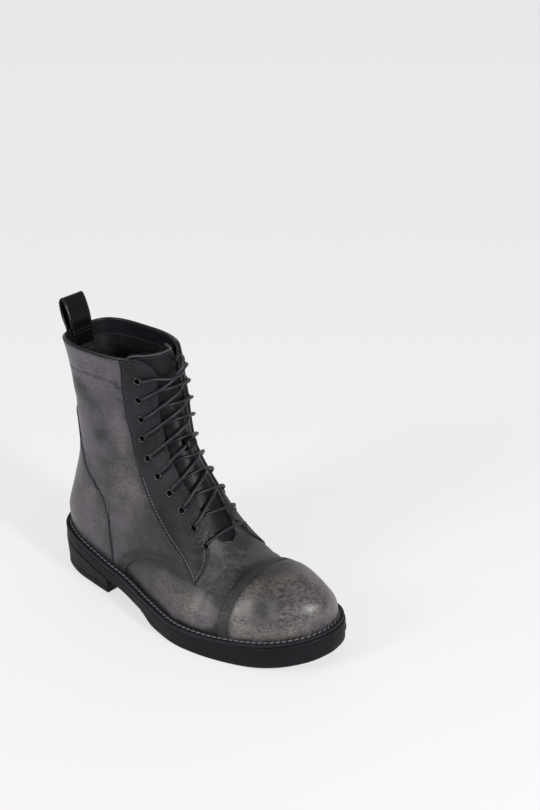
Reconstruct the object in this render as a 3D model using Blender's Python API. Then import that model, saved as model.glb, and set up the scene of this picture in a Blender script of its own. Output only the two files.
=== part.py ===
"""Laced biker boot for the right foot, modelled empty and standing on its sole.

Metres, +X to the toe, +Y to the inner side of the foot, +Z up. The origin lies on
the floor under the middle of the sole. Every upper piece is cut from one form, a
row of sections that turns from upright at the toe to level at the collar.
"""
import math

import bmesh
import bpy
import numpy as np

# Driving sizes of the sole
SOLE_LENGTH = 0.305
BALL_WIDTH = 0.119
HEEL_SEAT = 0.0416
HEEL_LENGTH = 0.083
WELT_THICKNESS = 0.0032
WELT_WIDTH = 0.0145
MIDSOLE_WALL = 0.0138
MIDSOLE_LIP = 0.0009
TOE_FLARE = 0.0022
OUTSOLE_BACK = 0.135
OUTSOLE_FEATHER = 0.0012
OUTSOLE_INSET = 0.0012
TOE_SPRING = 0.0115
SPRING_START = 0.225
HEEL_TOP_PIECE = 0.0062
HEEL_TAPER = 0.0014
HEEL_LIFTS = 3
LIFT_GROOVE = 0.0006
LIFT_GROOVE_HEIGHT = 0.0008

# Driving sizes of the upper
TOE_HEIGHT = 0.073
COLLAR_HEIGHT = 0.228
LEDGE = 0.0065
WALL = 0.0022
OVERLAY = 0.0013
COUNTER_THICKNESS = 0.0019
INSOLE_THICKNESS = 0.0036
INSOLE_PLAY = 0.0048
TONGUE_THICKNESS = 0.0022
TONGUE_HALF_WIDTH = 0.029
TONGUE_RISE = 0.42
THROAT_HALF_WIDTH = 0.0155
PULL_LOOP_WIDTH = 0.024
PULL_LOOP_THICKNESS = 0.0018
PULL_LOOP_HEIGHT = 0.028
PULL_LOOP_LEG = 0.015
PULL_LOOP_LEAN = 0.006

# Driving sizes of the lacing
EYELETS_PER_SIDE = 10
EYELET_PITCH = 0.0179
EYELET_DROP = 0.0182
EYELET_SETBACK = 0.0080
EYELET_RADIUS = 0.0040
EYELET_BORE = 0.0021
EYELET_THICKNESS = 0.0008
LACE_DIAMETER = 0.0030
KEEPER_ROW = 5
KEEPER_WIDTH = 0.0076
KEEPER_LENGTH = 0.0108
KEEPER_THICKNESS = 0.0010

# Clearance between pieces that touch, how far a facet may lie inside the curve that it
# stands for, and how far the cutters reach
GAP = 0.0003
FACET_SAG = 0.0006
REACH = 0.12
SLOT_REACH = 0.021

# Outline of the sole: station along the sole, middle line and half width
# (shares of SOLE_LENGTH, BALL_WIDTH and BALL_WIDTH)
OUTLINE = [
    # along, middle, half
    (0.000, 0.017, 0.000),
    (0.015, 0.018, 0.108),
    (0.050, 0.004, 0.204),
    (0.120, -0.013, 0.266),
    (0.200, -0.032, 0.283),
    (0.280, -0.055, 0.285),
    (0.360, -0.067, 0.297),
    (0.480, -0.051, 0.387),
    (0.600, -0.015, 0.490),
    (0.700, 0.008, 0.498),
    (0.790, 0.034, 0.466),
    (0.870, 0.045, 0.405),
    (0.930, 0.055, 0.323),
    (0.970, 0.060, 0.222),
    (0.990, 0.058, 0.130),
    (1.000, 0.058, 0.000),
]

# Height of the welt's top along the sole (shares of SOLE_LENGTH and HEEL_SEAT)
WELT_TOP = [
    # along, height
    (0.00, 1.000),
    (0.12, 0.900),
    (0.27, 0.712),
    (0.42, 0.560),
    (0.55, 0.485),
    (0.68, 0.485),
    (0.80, 0.545),
    (0.90, 0.655),
    (1.00, 0.830),
]

# Sections of the last. Each lies in a plane through its bottom and its top point.
# Along: shares of SOLE_LENGTH. Widths and ridge: shares of BALL_WIDTH. Heights: up to
# 1 a share of TOE_HEIGHT, and from 1 to 2 the way on from there to COLLAR_HEIGHT.
# Middle is where the section is widest, and crown is how square its top is.
SECTIONS = [
    # bottom_x, bottom_z, top_x, top_z, lateral, medial, middle, crown, ridge
    (0.979, 0.33, 0.979, 0.60, 0.000, 0.000, 0.45, 2.2, 0.052),
    (0.970, 0.30, 0.966, 0.75, 0.120, 0.112, 0.44, 2.2, 0.050),
    (0.944, 0.27, 0.933, 0.85, 0.222, 0.205, 0.42, 2.2, 0.048),
    (0.905, 0.25, 0.880, 0.925, 0.290, 0.262, 0.40, 2.2, 0.046),
    (0.839, 0.19, 0.811, 0.950, 0.366, 0.328, 0.38, 2.2, 0.048),
    (0.748, 0.16, 0.736, 0.890, 0.420, 0.390, 0.36, 2.1, 0.042),
    (0.643, 0.16, 0.666, 0.970, 0.429, 0.424, 0.34, 2.0, 0.034),
    (0.525, 0.16, 0.607, 1.14, 0.378, 0.374, 0.34, 1.9, 0.029),
    (0.393, 0.19, 0.556, 1.30, 0.332, 0.328, 0.36, 1.9, 0.029),
    (0.246, 0.27, 0.515, 1.42, 0.303, 0.298, 0.38, 2.0, 0.025),
    (0.060, 0.36, 0.485, 1.52, 0.286, 0.286, 0.40, 2.1, 0.034),
    (0.037, 0.69, 0.467, 1.61, 0.265, 0.290, 0.42, 2.1, 0.042),
    (0.063, 1.08, 0.452, 1.69, 0.252, 0.294, 0.45, 2.1, 0.050),
    (0.089, 1.29, 0.443, 1.77, 0.252, 0.298, 0.48, 2.1, 0.046),
    (0.085, 1.53, 0.434, 1.86, 0.252, 0.303, 0.50, 2.1, 0.038),
    (0.075, 1.79, 0.430, 1.94, 0.268, 0.307, 0.50, 2.1, 0.029),
    (0.062, 1.99, 0.426, 2.01, 0.294, 0.311, 0.50, 2.1, 0.013),
]
FOOT_SQUARENESS = 4.0
SHAFT_SQUARENESS = 2.7
SHAFT_START = 9.0
SHAFT_BLEND = 5.0
FEATHER_SQUARENESS = 6.0
FEATHER_BLEND = 0.028
TIP_LIFT_ANGLE = math.radians(35)
LAST_ROW = len(SECTIONS) - 1

# Seam lines in side view: shares of SOLE_LENGTH, and heights as in SECTIONS
CAP_SEAM = [
    # along, height
    (0.752, 0.00),
    (0.748, 0.60),
    (0.752, 0.90),
    (0.768, 1.20),
]
FACING_SEAM = [
    # along, height
    (0.338, 2.20),
    (0.337, 1.97),
    (0.329, 1.82),
    (0.338, 1.61),
    (0.367, 1.39),
    (0.430, 1.21),
    (0.500, 1.07),
    (0.574, 0.94),
    (0.630, 0.745),
]
VAMP_SEAM = [
    # along, height
    (0.630, 0.745),
    (0.574, 0.765),
    (0.502, 0.755),
    (0.410, 0.665),
    (0.362, 0.53),
    (0.342, 0.36),
    (0.332, 0.00),
]
COUNTER_SEAM = [
    # along, height
    (-0.10, 1.60),
    (0.085, 1.56),
    (0.110, 1.46),
    (0.138, 1.32),
    (0.174, 1.20),
    (0.243, 1.10),
    (0.270, 1.01),
    (0.277, 0.77),
    (0.288, 0.52),
    (0.292, 0.00),
]
CUFF_SEAM = [
    # along, height
    (-0.10, 1.80),
    (0.128, 1.83),
    (0.250, 1.85),
    (0.329, 1.82),
]
FACING_FRONT = [
    (0.630, 0.66), (0.643, 0.82), (0.640, 0.95), (0.627, 1.03), (0.614, 1.08),
    (0.612, 1.20),
]

# Half width of the throat, in THROAT_HALF_WIDTH, against the section number
THROAT = [
    # section, half
    (6.35, 0.15),
    (6.50, 0.66),
    (6.90, 0.88),
    (9.00, 1.00),
    (13.0, 0.98),
    (14.7, 0.84),
    (15.3, 0.98),
    (15.65, 1.20),
    (15.9, 1.48),
    (16.0, 1.62),
]

# Half width of the tongue, in TONGUE_HALF_WIDTH, against the section number
TONGUE = [
    # section, half
    (5.9, 0.70),
    (7.0, 0.80),
    (10.0, 0.92),
    (16.0, 1.00),
]

# How finely the last is cut into faces
ROW_STEPS = 27
LOOP_STEPS = 20
GROUND_STEPS = 38
SLOT_STEPS = 16
ROUND_STEPS = 6
CORD_STEPS = 5
FLAT_ANGLE = math.radians(1.4)

MATERIALS = {
    # name: colour, roughness, metallic
    "worn_leather": ((0.088, 0.081, 0.092), 0.48, 0.0),
    "dark_leather": ((0.036, 0.034, 0.038), 0.46, 0.0),
    "patent_leather": ((0.016, 0.015, 0.018), 0.28, 0.0),
    "sole_rubber": ((0.020, 0.019, 0.022), 0.62, 0.0),
    "insole_leather": ((0.022, 0.020, 0.022), 0.75, 0.0),
    "eyelet_metal": ((0.030, 0.030, 0.032), 0.35, 1.0),
    "waxed_cord": ((0.018, 0.017, 0.020), 0.60, 0.0),
}


def hermite(rows, position):
    """Smooth curve through the rows, read at a fractional row number."""
    rows = np.asarray(rows, float)
    slope = np.gradient(rows, axis=0, edge_order=2)
    position = np.asarray(position, float)
    low = np.clip(np.floor(position).astype(int), 0, len(rows) - 2)
    t = (position - low)[..., None]
    start = (2 * t**3 - 3 * t**2 + 1) * rows[low] + (t**3 - 2 * t**2 + t) * slope[low]
    end = (3 * t**2 - 2 * t**3) * rows[low + 1] + (t**3 - t**2) * slope[low + 1]
    return start + end


def along_table(table, x):
    """Second column of a table against its first, on a smooth curve."""
    dense = hermite(table, np.linspace(0, len(table) - 1, 200))
    return np.interp(x, dense[:, 0], dense[:, 1])


def smooth_step(t):
    """Ease from 0 to 1."""
    t = np.clip(t, 0, 1)
    return t * t * (3 - 2 * t)


def height(share):
    """Height of a table share: TOE_HEIGHT up to 1, COLLAR_HEIGHT at 2."""
    share = np.asarray(share, float)
    shaft = COLLAR_HEIGHT - TOE_HEIGHT
    return TOE_HEIGHT * np.minimum(share, 1) + shaft * np.maximum(share - 1, 0)


def welt_top(x):
    """Top of the welt above the floor, x from the back of the heel."""
    return HEEL_SEAT * along_table(WELT_TOP, np.asarray(x) / SOLE_LENGTH)


def midsole_bottom(x):
    """Underside of the midsole."""
    return welt_top(x) - MIDSOLE_WALL


def tread(x):
    """Ground side of the forefoot, flat under the ball and sprung at the toe."""
    rise = np.clip((x - SPRING_START) / (SOLE_LENGTH - SPRING_START), 0, 1)
    return TOE_SPRING * rise**2


def sole_rows():
    """Outline rows as x, lateral y and medial y."""
    table = np.array(OUTLINE)
    middle = table[:, 1] * BALL_WIDTH
    half = table[:, 2] * BALL_WIDTH
    return np.stack([table[:, 0] * SOLE_LENGTH, middle - half, middle + half], 1)


def row_at(x):
    """Fractional outline row of a distance from the heel."""
    position = np.linspace(0, len(OUTLINE) - 1, 600)
    return float(np.interp(x, hermite(sole_rows(), position)[:, 0], position))


def sole_rails(inset, start=None, end=None, count=26, flare=0.0):
    """Lateral and medial edge of the sole, moved inwards by inset."""
    first = 0.0 if start is None else row_at(start)
    last = len(OUTLINE) - 1.0 if end is None else row_at(end)
    position = np.linspace(first, last, count)
    rows = sole_rows()
    step = 0.01
    here = hermite(rows, position)
    ahead = hermite(rows, np.minimum(position + step, len(rows) - 1))
    behind = hermite(rows, np.maximum(position - step, 0))
    toeward = smooth_step((here[:, 0] / SOLE_LENGTH - 0.72) / 0.28)
    shift = inset - flare * toeward
    rails = []
    for column, inward in ((1, 1), (2, -1)):
        tangent = ahead[:, [0, column]] - behind[:, [0, column]]
        normal = inward * np.stack([-tangent[:, 1], tangent[:, 0]], 1)
        normal /= np.linalg.norm(normal, axis=1)[:, None]
        rail = here[:, [0, column]] + normal * shift[:, None]
        if start is not None:
            rail[0, 0] = start
        if end is not None:
            rail[-1, 0] = end
        rails.append(rail)
    return rails


def upper_edge(x):
    """Lateral and medial y of the upper's foot line at the welt."""
    lateral, medial = sole_rails(LEDGE, count=400)
    outer = np.interp(x, lateral[:, 0], lateral[:, 1])
    inner = np.interp(x, medial[:, 0], medial[:, 1])
    return outer, inner


def section_rows():
    """Section table in metres."""
    table = np.array(SECTIONS)
    rows = table.copy()
    rows[:, [0, 2]] *= SOLE_LENGTH
    rows[:, 1] = height(table[:, 1])
    rows[:, 3] = height(table[:, 3])
    rows[:, [4, 5, 8]] *= BALL_WIDTH
    return rows


def last_points(section, angle, side):
    """Points of the last on one side, for a column of sections and a row of angles."""
    row = hermite(section_rows(), section)
    pick = [row[:, i:i + 1] for i in range(9)]
    bottom_x, bottom_z, top_x, top_z, lateral, medial, middle, crown, ridge = pick
    sine = np.sin(angle)[None, :]
    cosine = np.cos(angle).clip(0)[None, :]
    above = sine > 0
    up = middle + (1 - middle) * np.abs(sine) ** (2 / crown)
    rounding = SHAFT_SQUARENESS - FOOT_SQUARENESS if side < 0 else 0.0
    upward = smooth_step((np.asarray(section)[:, None] - SHAFT_START) / SHAFT_BLEND)
    square = FOOT_SQUARENESS + rounding * upward
    down = middle * (1 - np.abs(sine) ** (2 / square))
    u = np.where(above, up, down)
    fullness = np.where(above, cosine ** (2 / crown), cosine ** (2 / square))
    x = bottom_x + u * (top_x - bottom_x)
    z = bottom_z + u * (top_z - bottom_z)
    blend = smooth_step((z - welt_top(x)) / FEATHER_BLEND)
    foot = upper_edge(x)[0 if side < 0 else 1]
    low = np.clip(1 - ((middle - u) / middle) ** FEATHER_SQUARENESS, 0, 1)
    foot_fullness = np.where(above, fullness, low ** (1 / FEATHER_SQUARENESS))
    width = side * (lateral if side < 0 else medial)
    at_foot = ridge + foot_fullness * (foot - ridge)
    at_form = ridge + fullness * width
    past_tip = (np.asarray(section) > 0)[:, None]
    y = np.where(past_tip, (1 - blend) * at_foot + blend * at_form, ridge)
    return np.stack([x, y, z], -1)


def last_grid(section, offset):
    """Loops around the last at each section, moved out along the normal by offset."""
    half = LOOP_STEPS // 2
    angle = np.linspace(-math.pi / 2, math.pi / 2, half + 1)
    lateral = last_points(section, angle, -1)
    medial = last_points(section, angle, 1)
    loops = np.concatenate([lateral, medial[:, -2:0:-1]], 1)
    along = np.gradient(loops, axis=0)
    around = np.roll(loops, -1, 1) - np.roll(loops, 1, 1)
    normal = np.cross(around, along)
    lift = np.linspace(0, TIP_LIFT_ANGLE, half + 1)
    tip = np.stack([np.cos(lift), 0 * lift, np.sin(lift)], -1)
    normal[0] = np.concatenate([tip, tip[-2:0:-1]])
    normal /= np.linalg.norm(normal, axis=-1)[..., None]
    return loops + normal * offset


def on_last(section, across, lift):
    """Point over the instep: a section, a distance across the ridge, a height above."""
    side = -1 if across < 0 else 1
    angle = np.linspace(0, math.pi / 2, 240)
    step = 0.05
    spread = np.array([section - step, section, section + step])
    strip = last_points(spread, angle, side)
    ridge = hermite(section_rows(), spread)[:, 8]
    points = []
    for line, middle in zip(strip, ridge):
        away = side * (line[:, 1] - middle)
        points.append([np.interp(abs(across), away[::-1], line[::-1, i]) for i in range(3)])
    before, here, after = (np.array(p) for p in points)
    line = strip[1]
    away = side * (line[:, 1] - ridge[1])
    inner = max(abs(across) - 0.001, 0.0)
    outer = abs(across) + 0.001
    near = np.array([np.interp(inner, away[::-1], line[::-1, i]) for i in range(3)])
    far = np.array([np.interp(outer, away[::-1], line[::-1, i]) for i in range(3)])
    if inner == 0.0:
        near = far * [1, -1, 1] + [0, 2 * ridge[1], 0]
    normal = np.cross(far - near, after - before) * side
    normal /= np.linalg.norm(normal)
    if normal[0] + normal[2] < 0:
        normal = -normal
    return here + normal * lift, normal


def centred(points):
    """Move from heel-based x to the origin under the middle of the sole."""
    points = np.array(points, float)
    points[..., 0] -= (SOLE_LENGTH + TOE_FLARE) / 2
    return points


def material(name):
    """Principled material of one of the boot's stuffs."""
    found = bpy.data.materials.get(name)
    if found:
        return found
    colour, roughness, metallic = MATERIALS[name]
    made = bpy.data.materials.new(name)
    made.use_nodes = True
    shader = made.node_tree.nodes["Principled BSDF"]
    shader.inputs["Base Color"].default_value = (*colour, 1.0)
    shader.inputs["Roughness"].default_value = roughness
    shader.inputs["Metallic"].default_value = metallic
    made.diffuse_color = (*colour, 1.0)
    return made


def make_object(name, points, faces, stuff=None):
    """Mesh object from points and faces, welded and turned outwards."""
    mesh = bpy.data.meshes.new(name)
    work = bmesh.new()
    verts = [work.verts.new(p) for p in centred(points)]
    for face in faces:
        corners = [verts[i] for i in face]
        work.faces.new(corners)
    bmesh.ops.remove_doubles(work, verts=work.verts, dist=1e-6)
    bmesh.ops.triangulate(work, faces=work.faces)
    bmesh.ops.recalc_face_normals(work, faces=work.faces)
    if work.calc_volume(signed=True) < 0:
        bmesh.ops.reverse_faces(work, faces=work.faces)
    work.to_mesh(mesh)
    work.free()
    item = bpy.data.objects.new(name, mesh)
    bpy.context.collection.objects.link(item)
    if stuff:
        mesh.materials.append(material(stuff))
        mesh.shade_smooth()
        mesh.set_sharp_from_angle(angle=math.radians(35))
    else:
        item.hide_render = True
        item.display_type = "WIRE"
    return item


def boolean(item, cutter, operation):
    """Leave a Boolean modifier on the item."""
    cut = item.modifiers.new(f"{operation.lower()}_{cutter.name}", "BOOLEAN")
    cut.operation = operation
    cut.object = cutter
    cut.solver = "EXACT"


def merge_flat(item):
    """Merge the flat slivers that the cuts leave."""
    thin = item.modifiers.new("flat_faces", "DECIMATE")
    thin.decimate_type = "DISSOLVE"
    thin.angle_limit = FLAT_ANGLE


def rail_solid(name, levels, stuff=None):
    """Solid between stacked levels, each a lateral and a medial line of 3-D points."""
    count = len(levels[0][0])
    points = []
    for lateral, medial in levels:
        points.extend(lateral)
        points.extend(medial)

    def index(level, side, i):
        return (2 * level + side) * count + i

    faces = []
    for level in range(len(levels) - 1):
        for side in (0, 1):
            for i in range(count - 1):
                faces.append((index(level, side, i), index(level, side, i + 1),
                              index(level + 1, side, i + 1), index(level + 1, side, i)))
        for i in (0, count - 1):
            faces.append((index(level, 0, i), index(level, 1, i),
                          index(level + 1, 1, i), index(level + 1, 0, i)))
    for level in (0, len(levels) - 1):
        for i in range(count - 1):
            faces.append((index(level, 0, i), index(level, 0, i + 1),
                          index(level, 1, i + 1), index(level, 1, i)))
    return make_object(name, points, faces, stuff)


def sole_level(inset, surface, **span):
    """Level of a sole layer: an inset outline laid on a surface z(x)."""
    rails = sole_rails(inset, **span)
    return [np.column_stack([rail, surface(rail[:, 0])]) for rail in rails]


def ring_solid(name, loops, stuff=None):
    """Closed ring through cyclic loops of points."""
    count = len(loops[0])
    points = [p for loop in loops for p in loop]
    faces = []
    for k in range(len(loops)):
        following = (k + 1) % len(loops)
        for i in range(count):
            j = (i + 1) % count
            faces.append((k * count + i, k * count + j,
                          following * count + j, following * count + i))
    return make_object(name, points, faces, stuff)


def shell_solid(name, low, high, stuff=None, rise=0.0):
    """Open-ended shell between two offsets of the last, rimmed a rise above the collar."""
    section = np.linspace(0, LAST_ROW, ROW_STEPS)
    if rise:
        section = np.append(section, LAST_ROW + rise)
    inner = last_grid(section, low)
    outer = last_grid(section, high)
    rows, count = outer.shape[:2]
    points = list(outer.reshape(-1, 3)) + list(inner.reshape(-1, 3))
    faces = []
    for start in (0, rows * count):
        for r in range(rows - 1):
            for i in range(count):
                j = (i + 1) % count
                faces.append((start + r * count + i, start + r * count + j,
                              start + (r + 1) * count + j, start + (r + 1) * count + i))
    rim = (rows - 1) * count
    for i in range(count):
        j = (i + 1) % count
        faces.append((rim + i, rim + j, rows * count + rim + j, rows * count + rim + i))
    return make_object(name, points, faces, stuff)


def seam(table, shift=0.0):
    """Side-view seam line, moved to its left by shift as it is walked."""
    line = np.array(table, float)
    line = np.stack([line[:, 0] * SOLE_LENGTH, height(line[:, 1])], 1)
    line[:, 1] += np.where(np.array(table)[:, 1] <= 0, -0.01, 0)
    tangent = np.gradient(line, axis=0)
    tangent /= np.linalg.norm(tangent, axis=1)[:, None]
    left = np.stack([-tangent[:, 1], tangent[:, 0]], 1)
    return [tuple(p) for p in line + left * shift]


def prism(name, outline, y_low, y_high):
    """Cutter: a side-view outline carried across the boot."""
    count = len(outline)
    points = [(x, y_low, z) for x, z in outline] + [(x, y_high, z) for x, z in outline]
    faces = [tuple(range(count)), tuple(range(count, 2 * count))]
    for i in range(count):
        j = (i + 1) % count
        faces.append((i, j, count + j, count + i))
    return make_object(name, points, faces)


def ground_cutter():
    """Everything below the welt's top, with the clearance above it."""
    x = np.linspace(-0.02, SOLE_LENGTH + 0.02, GROUND_STEPS)
    top = welt_top(np.clip(x, 0, SOLE_LENGTH)) + GAP
    levels = []
    for z in (0 * x - 0.02, top):
        levels.append([np.column_stack([x, 0 * x + y, z]) for y in (-REACH, REACH)])
    return rail_solid("ground_cutter", levels)


def slot_cutter(name, table, unit):
    """Slot along the instep, its half width in units against the section number."""
    table = np.array(table)
    section = np.concatenate([np.linspace(table[0, 0], LAST_ROW, SLOT_STEPS), [LAST_ROW + 0.01]])
    half = np.interp(section, table[:, 0], table[:, 1]) * unit
    row = hermite(section_rows(), section)
    top = np.stack([row[:, 2], row[:, 8], row[:, 3]], 1)
    tangent = np.gradient(top, axis=0)
    tangent[-1] = tangent[-2]
    outward = np.cross(tangent, [0, 1, 0])
    outward /= np.linalg.norm(outward, axis=1)[:, None]
    outward *= np.sign(outward[:, 0])[:, None]
    top[-1] += [0, 0, SLOT_REACH]
    levels = []
    for depth in (-SLOT_REACH, SLOT_REACH):
        pair = [top + outward * depth + np.outer(side * half, [0, 1, 0]) for side in (-1, 1)]
        levels.append(pair)
    return rail_solid(name, levels)


def eyelet_sections():
    """Section number of each eyelet row, evenly spaced down the facing."""
    across = THROAT_HALF_WIDTH + EYELET_SETBACK
    section = np.linspace(6.2, LAST_ROW - 0.1, 80)
    line = np.array([on_last(s, -across, 0)[0] for s in section])
    step = np.linalg.norm(np.diff(line, axis=0), axis=1)
    travelled = np.concatenate([[0], np.cumsum(step)])
    from_top = travelled[-1] - travelled
    wanted = EYELET_DROP + EYELET_PITCH * np.arange(EYELETS_PER_SIDE)
    return np.interp(wanted, from_top[::-1], section[::-1])


def turned(name, place, axis, profile, stuff=None):
    """Ring or plug turned around an axis, its profile as radius and height."""
    axis = axis / np.linalg.norm(axis)
    side = np.cross(axis, [0.0, 0.0, 1.0])
    side /= np.linalg.norm(side)
    other = np.cross(axis, side)
    loops = []
    steps = ROUND_STEPS
    for radius, rise in profile:
        turn = np.linspace(0, 2 * math.pi, steps, endpoint=False)
        ring = np.outer(np.cos(turn), side) + np.outer(np.sin(turn), other)
        loops.append(place + ring * radius + axis * rise)
    if len(profile) > 2:
        return ring_solid(name, loops, stuff)
    points = list(loops[0]) + list(loops[1])
    faces = [tuple(range(steps)), tuple(range(steps, 2 * steps))]
    for i in range(steps):
        j = (i + 1) % steps
        faces.append((i, j, steps + j, steps + i))
    return make_object(name, points, faces, stuff)


def join_cutters(name, items):
    """One cutter from several that lie apart."""
    target = bpy.data.meshes.new(name)
    work = bmesh.new()
    for item in items:
        work.from_mesh(item.data)
    work.to_mesh(target)
    work.free()
    for item in items:
        bpy.data.objects.remove(item)
    joined = bpy.data.objects.new(name, target)
    bpy.context.collection.objects.link(joined)
    joined.hide_render = True
    joined.display_type = "WIRE"
    return joined


def tube(name, route, radius, stuff=None):
    """Round cord along a smooth route, with flat ends."""
    route = np.array(route)
    steps = CORD_STEPS
    dense = hermite(route, np.linspace(0, len(route) - 1, len(route) + 2))
    tangent = np.gradient(dense, axis=0)
    tangent /= np.linalg.norm(tangent, axis=1)[:, None]
    guide = np.array([1.0, 0.0, 1.0])
    points = []
    for place, forward in zip(dense, tangent):
        side = np.cross(forward, guide)
        side /= np.linalg.norm(side)
        other = np.cross(side, forward)
        for turn in np.linspace(0, 2 * math.pi, steps, endpoint=False):
            points.append(place + radius * (math.cos(turn) * side + math.sin(turn) * other))
    faces = [tuple(range(steps)), tuple(range(len(points) - steps, len(points)))]
    for k in range(len(dense) - 1):
        for i in range(steps):
            j = (i + 1) % steps
            faces.append((k * steps + i, k * steps + j,
                          (k + 1) * steps + j, (k + 1) * steps + i))
    return make_object(name, points, faces, stuff)


def build_sole():
    """Welt, midsole, forefoot outsole, heel block and its top piece."""
    loops = []
    for inset, drop in ((0, 0), (0, WELT_THICKNESS), (WELT_WIDTH, WELT_THICKNESS),
                        (WELT_WIDTH, 0)):
        lateral, medial = sole_level(inset, lambda x, d=drop: welt_top(x) - d)
        loops.append(np.concatenate([lateral, medial[-2:0:-1]]))
    ring_solid("welt", loops, "sole_rubber")

    def midsole_top(x):
        return welt_top(x) - WELT_THICKNESS - GAP

    lip = MIDSOLE_LIP
    levels = [
        sole_level(lip, midsole_bottom, flare=TOE_FLARE),
        sole_level(0, lambda x: midsole_bottom(x) + lip, flare=TOE_FLARE),
        sole_level(0, lambda x: midsole_top(x) - lip, flare=TOE_FLARE / 2),
        sole_level(lip, midsole_top),
    ]
    rail_solid("midsole", levels, "sole_rubber")

    def outsole_top(x):
        return midsole_bottom(x) - GAP

    def outsole_bottom(x):
        feather = outsole_top(x) - OUTSOLE_FEATHER
        return np.minimum(tread(x) + np.maximum(feather - tread(x), 0) * back_fade(x), feather)

    def back_fade(x):
        return 1 - smooth_step((x - OUTSOLE_BACK) / (0.06 * SOLE_LENGTH))

    span = dict(start=OUTSOLE_BACK, count=19, flare=TOE_FLARE)
    levels = [
        sole_level(OUTSOLE_INSET + lip, outsole_bottom, **span),
        sole_level(OUTSOLE_INSET, lambda x: outsole_bottom(x) + OUTSOLE_FEATHER / 2, **span),
        sole_level(OUTSOLE_INSET, outsole_top, **span),
    ]
    rail_solid("outsole", levels, "sole_rubber")

    def stack_top(x):
        return midsole_bottom(x) - GAP

    def between(share):
        base = HEEL_TOP_PIECE + GAP
        return lambda x: base + share * (stack_top(x) - base)

    span = dict(end=HEEL_LENGTH, count=10)
    levels = []
    for lift in range(HEEL_LIFTS):
        low = lift / HEEL_LIFTS
        high = (lift + 1) / HEEL_LIFTS
        taper = HEEL_TAPER * (1 - low)
        if lift:
            levels.append(sole_level(taper + LIFT_GROOVE, between(low), **span))
            groove = LIFT_GROOVE_HEIGHT / HEEL_SEAT * 2
            levels.append(sole_level(taper, between(low + groove), **span))
        else:
            levels.append(sole_level(taper, between(low), **span))
        top_taper = HEEL_TAPER * (1 - high)
        levels.append(sole_level(top_taper, between(high - 0.02 * (lift < 2)), **span))
    rail_solid("heel_block", levels, "sole_rubber")

    levels = [
        sole_level(HEEL_TAPER + lip, lambda x: 0 * x, **span),
        sole_level(HEEL_TAPER, lambda x: 0 * x + lip, **span),
        sole_level(HEEL_TAPER, lambda x: 0 * x + HEEL_TOP_PIECE, **span),
    ]
    rail_solid("heel_top_piece", levels, "sole_rubber")


def build_insole():
    """Insole that fills the welt's ring and meets the upper's inner wall."""
    filler = WELT_WIDTH + GAP
    edge = LEDGE + WALL + INSOLE_PLAY

    def seat(x):
        return welt_top(x) + GAP

    levels = [
        sole_level(filler, lambda x: welt_top(x) - WELT_THICKNESS),
        sole_level(filler, seat),
        sole_level(edge, seat),
        sole_level(edge, lambda x: seat(x) + INSOLE_THICKNESS),
    ]
    rail_solid("insole", levels, "insole_leather")


def build_upper():
    """Hollow upper, open at the collar, the throat and underneath."""
    ground = ground_cutter()
    throat = slot_cutter("throat_cutter", THROAT, THROAT_HALF_WIDTH)
    holes = []
    across = THROAT_HALF_WIDTH + EYELET_SETBACK
    for number, section in enumerate(eyelet_sections()):
        for side in (-1, 1):
            place, normal = on_last(section, side * across, 0)
            profile = ((EYELET_BORE + GAP, -3 * WALL), (EYELET_BORE + GAP, 3 * OVERLAY))
            holes.append(turned(f"hole_{number}_{side}", place, normal, profile))
    hole_cutter = join_cutters("hole_cutter", holes)

    upper = shell_solid("upper", -WALL, 0, "worn_leather")
    for cutter in (ground, throat, hole_cutter):
        boolean(upper, cutter, "DIFFERENCE")
    merge_flat(upper)
    return ground, throat, hole_cutter


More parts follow.
